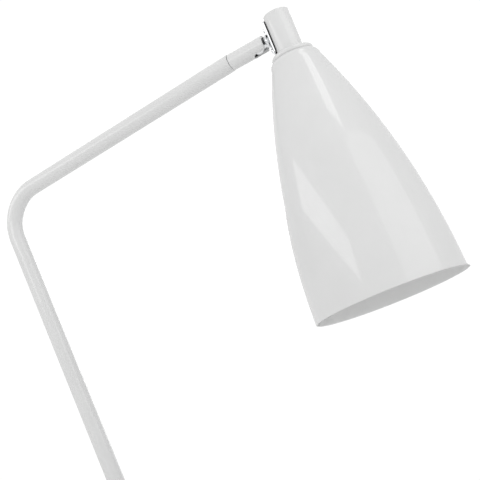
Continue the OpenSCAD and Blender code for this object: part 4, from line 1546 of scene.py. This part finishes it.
@dataclass
class LampHolder(Assembly):
    """The lamp holder inside the shade and the bulb that is screwed into it."""

    holder_r: float = 17.5
    holder_top: float = 6.4
    holder_end: float = 62.4
    cap_h: float = 14.0
    wall: float = 2.2
    nipple_r: float = 5.05
    core_s: float = 20.5
    cap_s: float = 32.7
    cap_r: float = 13.1
    cap_len: float = 24.0
    neck_r: float = 12.6
    globe_r: float = 30.0
    tip_s: float = 140.7
    pitch: float = 3.6

    def build(self) -> None:
        """Builds the holder and the bulb."""
        self.build_holder()
        self.build_bulb()
        self.dress("glazed_porcelain", "holder_core")
        self.dress("turned_brass", "holder_contacts")

    def build_holder(self) -> None:
        """Builds the holder's cap and its ribbed sleeve."""
        top, joint = self.holder_top, self.holder_top + self.cap_h
        inner = self.holder_r - self.wall
        outline = rounded(
            [
                (self.nipple_r, top, 0),
                (self.holder_r - 4, top, 1.5),
                (self.holder_r, top + 4, 2.0),
                (self.holder_r, joint, 0.4),
                (inner, joint, 0.2),
                (inner, top + 8, 0.4),
                (self.nipple_r, top + 8, 0),
            ]
        )
        cap = lathe("holder_dome", outline, AT_NECK, "holder_moulding", 96)
        self.keep(cap, Body.HEAD, "holder_plastic", "holder_cap")
        body = rounded(
            [
                (inner, self.core_s, 0.2),
                (self.holder_r, self.core_s, 0.4),
                (self.holder_r, self.core_s + 5, 0.3),
                (self.holder_r - 0.6, self.core_s + 5.6, 0.3),
                (self.holder_r - 0.6, self.holder_end - 5.6, 0.3),
                (self.holder_r, self.holder_end - 5, 0.3),
                (self.holder_r, self.holder_end, 0.6),
                (inner, self.holder_end, 0.6),
            ]
        )
        sleeve = lathe("holder_tube", body[1:] + body[:1], AT_NECK, "holder_moulding", 120)
        self.keep(sleeve, Body.HEAD, "holder_plastic", "holder_sleeve")
        low, high = self.core_s + 5.4, self.holder_end - 5.4
        values = {
            "Ribs": 40,
            "Circle radius": (self.holder_r - 0.75) * MM,
            "Rib radius": 0.7 * MM,
            "Length": (high - low) * MM,
        }
        seed = bpy.data.meshes.new("holder_ribs")
        ribs = grown("holder_ribs", seed, ribbed_tree(), "holder_moulding", values)
        middle = AT_NECK @ Matrix.Translation((0, 0, (low + high) / 2))
        ribs.data.transform(Matrix.Scale(MM, 4) @ middle @ Matrix.Scale(1 / MM, 4))
        self.keep(ribs, Body.HEAD, "holder_plastic")

    def build_bulb(self) -> None:
        """Builds the bulb's threaded cap, its insulator and contact, and the opal glass."""
        low, high = self.cap_s + 5, self.cap_s + self.cap_len
        steps, segments = 120, 72
        rings = []
        for step in range(steps + 1):
            z = low + (high - low) * step / steps
            fade = min(1.0, 4 * min(step, steps - step) / steps)
            ring = []
            for index in range(segments):
                turn = index / segments
                wave = 0.5 + 0.5 * math.cos(math.tau * (z / self.pitch - turn))
                radius = self.cap_r - 0.9 * fade * (1 - wave)
                angle = math.tau * turn
                ring.append(Vector((radius * math.cos(angle), radius * math.sin(angle), z)))
            rings.append(ring)
        inner = self.cap_r - 1.6
        rings += [ring_of(inner, high, segments), ring_of(inner, low, segments)]
        shell = piece_from("thread_shell", loft(rings, closed=True), AT_NECK, ["screw_shell"])
        self.keep(shell, Body.HEAD, "bulb_shell", "bulb_base")
        cone = rounded(
            [
                (0, low + 0.6, 0),
                (inner, low + 0.6, 0),
                (self.cap_r - 0.8, low, 0.3),
                (6.0, self.cap_s + 1, 0.8),
                (0, self.cap_s + 1, 0),
            ]
        )
        insulator = lathe("cap_insulator", cone, AT_NECK, "black_moulding", 64, closed=False)
        self.keep(insulator, Body.HEAD, "black_plastic")
        end = self.cap_s
        button = rounded(
            [(0, end + 1.2, 0), (4.5, end + 1.2, 0.2), (4.5, end + 0.5, 0.6), (2.5, end, 0.8), (0, end, 0)]
        )
        contact = lathe("cap_contact", button, AT_NECK, "turned_brass", 48, closed=False)
        self.keep(contact, Body.HEAD, "brass")
        self.keep(self.build_glass(), Body.HEAD, "opal_glass", "bulb_glass")

    def build_glass(self) -> bpy.types.Object:
        """Builds the glass: a neck that flows into the globe, as a closed thin shell."""
        centre = self.tip_s - self.globe_r
        start = self.cap_s + self.cap_len
        join = math.radians(32)

        def side(inset: float) -> list[Point]:
            """One face of the glass from its neck to its tip."""
            globe = self.globe_r - inset
            foot = (self.neck_r - inset, start)
            meet = (globe * math.cos(join), centre - globe * math.sin(join))
            slope = (math.sin(join), math.cos(join))
            reach = (meet[1] - start) * 0.5
            points = []
            for step in range(17):
                t = step / 16
                control_a = (foot[0], foot[1] + reach)
                control_b = (meet[0] - slope[0] * reach * 0.8, meet[1] - slope[1] * reach * 0.8)
                weights = ((1 - t) ** 3, 3 * t * (1 - t) ** 2, 3 * t * t * (1 - t), t**3)
                corners = (foot, control_a, control_b, meet)
                points.append(tuple(sum(w * c[k] for w, c in zip(weights, corners)) for k in (0, 1)))
            for step in range(1, 33):
                angle = -join + (math.pi / 2 + join) * step / 32
                points.append((globe * math.cos(angle), centre + globe * math.sin(angle)))
            return points

        outside, inside = side(0.05), side(1.0)
        work = loft([ring_of(max(r, 0.0), z, 128) for r, z in outside + inside[::-1]], closed=True)
        return piece_from("globe_glass", work, AT_NECK, ["opal_glass"])


# ---------------------------------------------------------------- studio


@dataclass(frozen=True)
class Softbox:
    """A soft rectangular light that faces the lamp's head."""

    name: str
    way: Vector
    length_way: Vector
    distance: float
    width: float
    length: float
    power: float

    def build(self, target: Vector) -> None:
        """Adds the light.

        Args:
            target: Point that it faces, in metres.
        """
        data = bpy.data.lights.new(self.name, "AREA")
        data.shape = "RECTANGLE"
        data.size, data.size_y, data.energy = self.width, self.length, self.power
        back = self.way.normalized()
        across = self.length_way.cross(back).normalized()
        up = back.cross(across)
        turn = Matrix((across, up, back)).transposed().to_4x4()
        light = bpy.data.objects.new(self.name, data)
        light.matrix_world = Matrix.Translation(target + back * self.distance) @ turn
        bpy.context.scene.collection.objects.link(light)


@dataclass
class Room:
    """The light that surrounds the lamp, as levels by direction; the camera itself sees plain white."""

    plain: float = 1.05
    heights: tuple[Point, ...] = ((0.0, 0.50), (0.40, 0.60), (0.56, 0.82), (1.0, 0.84))
    backdrop_azimuth: float = 108.0
    backdrop_half: float = 32.0
    backdrop_soft: float = 9.0
    backdrop_glow: float = 1.25
    side_azimuth: float = 207.0
    side_level: float = 0.12

    def build(self) -> None:
        """Builds the world."""
        world = bpy.data.worlds.new("surround")
        world.use_nodes = True
        self.tree = world.node_tree
        way = self.tree.nodes.new("ShaderNodeTexCoord").outputs["Generated"]
        split = self.tree.nodes.new("ShaderNodeSeparateXYZ")
        self.tree.links.new(way, split.inputs["Vector"])
        height = self.ranged(split.outputs["Z"], -1.0, 1.0, "LINEAR")
        ramp = self.tree.nodes.new("ShaderNodeValToRGB")
        stops = ramp.color_ramp.elements
        stops.remove(stops[0])
        stops[0].position, stops[0].color = self.heights[-1][0], (self.heights[-1][1],) * 3 + (1.0,)
        for place, level in self.heights[:-1]:
            stops.new(place).color = (level, level, level, 1.0)
        self.tree.links.new(height, ramp.inputs["Fac"])
        outer = math.cos(math.radians(self.backdrop_half + self.backdrop_soft / 2))
        inner = math.cos(math.radians(self.backdrop_half - self.backdrop_soft / 2))
        sheet = self.ranged(self.towards(way, self.backdrop_azimuth), outer, inner, "SMOOTHSTEP")
        level = self.math("MULTIPLY_ADD", sheet, self.backdrop_glow, ramp.outputs["Color"])
        level = self.math("MULTIPLY_ADD", self.towards(way, self.side_azimuth), self.side_level, level)
        room = self.tree.nodes["Background"]
        self.tree.links.new(level, room.inputs["Strength"])
        seen = self.tree.nodes.new("ShaderNodeBackground")
        seen.inputs["Color"].default_value = (1.0, 1.0, 1.0, 1.0)
        seen.inputs["Strength"].default_value = self.plain
        room.inputs["Color"].default_value = (1.0, 1.0, 1.0, 1.0)
        mix = self.tree.nodes.new("ShaderNodeMixShader")
        eye = self.tree.nodes.new("ShaderNodeLightPath")
        self.tree.links.new(eye.outputs["Is Camera Ray"], mix.inputs["Fac"])
        self.tree.links.new(room.outputs["Background"], mix.inputs[1])
        self.tree.links.new(seen.outputs["Background"], mix.inputs[2])
        self.tree.links.new(mix.outputs["Shader"], self.tree.nodes["World Output"].inputs["Surface"])
        bpy.context.scene.world = world

    def towards(self, way: bpy.types.NodeSocket, azimuth: float) -> bpy.types.NodeSocket:
        """How far a direction points to an azimuth.

        Args:
            way: The direction.
            azimuth: Degrees from +X.

        Returns:
            Their dot product.
        """
        dot = self.tree.nodes.new("ShaderNodeVectorMath")
        dot.operation = "DOT_PRODUCT"
        dot.inputs[1].default_value = (math.cos(math.radians(azimuth)), math.sin(math.radians(azimuth)), 0.0)
        self.tree.links.new(way, dot.inputs[0])
        return dot.outputs["Value"]

    def ranged(self, value: bpy.types.NodeSocket, low: float, high: float, kind: str) -> bpy.types.NodeSocket:
        """Maps a stretch of a value to 0..1.

        Args:
            value: The value.
            low: Value that maps to 0.
            high: Value that maps to 1.
            kind: Interpolation.

        Returns:
            The mapped value.
        """
        node = self.tree.nodes.new("ShaderNodeMapRange")
        node.interpolation_type = kind
        node.inputs["From Min"].default_value, node.inputs["From Max"].default_value = low, high
        self.tree.links.new(value, node.inputs["Value"])
        return node.outputs["Result"]

    def math(
        self, operation: str, value: bpy.types.NodeSocket, factor: float, addend: bpy.types.NodeSocket
    ) -> bpy.types.NodeSocket:
        """One calculation with a value, a constant and another value.

        Args:
            operation: Name of the operation.
            value: First value.
            factor: The constant.
            addend: Third value.

        Returns:
            The result.
        """
        node = self.tree.nodes.new("ShaderNodeMath")
        node.operation = operation
        node.inputs[1].default_value = factor
        self.tree.links.new(value, node.inputs[0])
        self.tree.links.new(addend, node.inputs[2])
        return node.outputs["Value"]


@dataclass
class Studio:
    """Pale floor, white surroundings, soft lights and the camera."""

    camera_from_corner: Corner = (647.22, -750.71, -61.57)
    camera_tilt: float = 1.53
    camera_azimuth: float = 26.85
    lens: float = 71.45
    boxes: tuple[Softbox, ...] = (
        Softbox(
            name="overhead",
            way=Vector((0.27, -0.26, 0.93)),
            length_way=Vector((0.172, -0.481, -0.186)),
            distance=0.9,
            width=0.21,
            length=0.50,
            power=0.68,
        ),
        Softbox(
            name="right",
            way=Vector((0.81, -0.30, 0.42)),
            length_way=Vector((0.0, 0.0, 1.0)),
            distance=0.9,
            width=0.90,
            length=0.90,
            power=1.85,
        ),
        Softbox(
            name="low",
            way=Vector((-0.669, -0.743, 0.035)),
            length_way=Vector((0.743, -0.669, 0.0)),
            distance=1.2,
            width=0.28,
            length=1.39,
            power=1.8,
        ),
    )

    def build(self) -> None:
        """Builds the studio."""
        bpy.context.scene.view_settings.view_transform = "Standard"
        self.build_camera()
        self.build_floor()
        Room().build()
        for box in self.boxes:
            box.build(SIZES.ball * MM)

    def build_camera(self) -> None:
        """Adds the camera, which looks at the bend and the head."""
        data = bpy.data.cameras.new("camera")
        data.lens = self.lens
        data.clip_end = 50.0
        camera = bpy.data.objects.new("camera", data)
        camera.location = (SIZES.corner + Vector(self.camera_from_corner)) * MM
        camera.rotation_euler = (math.radians(90 + self.camera_tilt), 0.0, math.radians(self.camera_azimuth))
        bpy.context.scene.collection.objects.link(camera)
        bpy.context.scene.camera = camera

    def build_floor(self) -> None:
        """Adds the pale floor."""
        work = bmesh.new()
        bmesh.ops.create_grid(work, x_segments=1, y_segments=1, size=20.0)
        mesh = bpy.data.meshes.new("floor")
        work.to_mesh(mesh)
        work.free()
        shader = Shader("floor_paper")
        shader.tint(shader.noise(3.0, 3.0), (0.86, 0.86, 0.86), (0.88, 0.88, 0.88))
        shader.set(Roughness=0.9, Specular_IOR_Level=0.1)
        mesh.materials.append(shader.material)
        floor = bpy.data.objects.new("floor", mesh)
        bpy.context.scene.collection.objects.link(floor)
        floor.visible_camera = False


def main() -> None:
    """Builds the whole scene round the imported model."""
    logging.basicConfig(level=logging.INFO, format="%(name)s: %(message)s")
    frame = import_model()
    Studio().build()
    for kind in (Base, Arm, Swivel, Head, LampHolder):
        kind(frame["nodes"]).build()


if __name__ == "__main__":
    main()
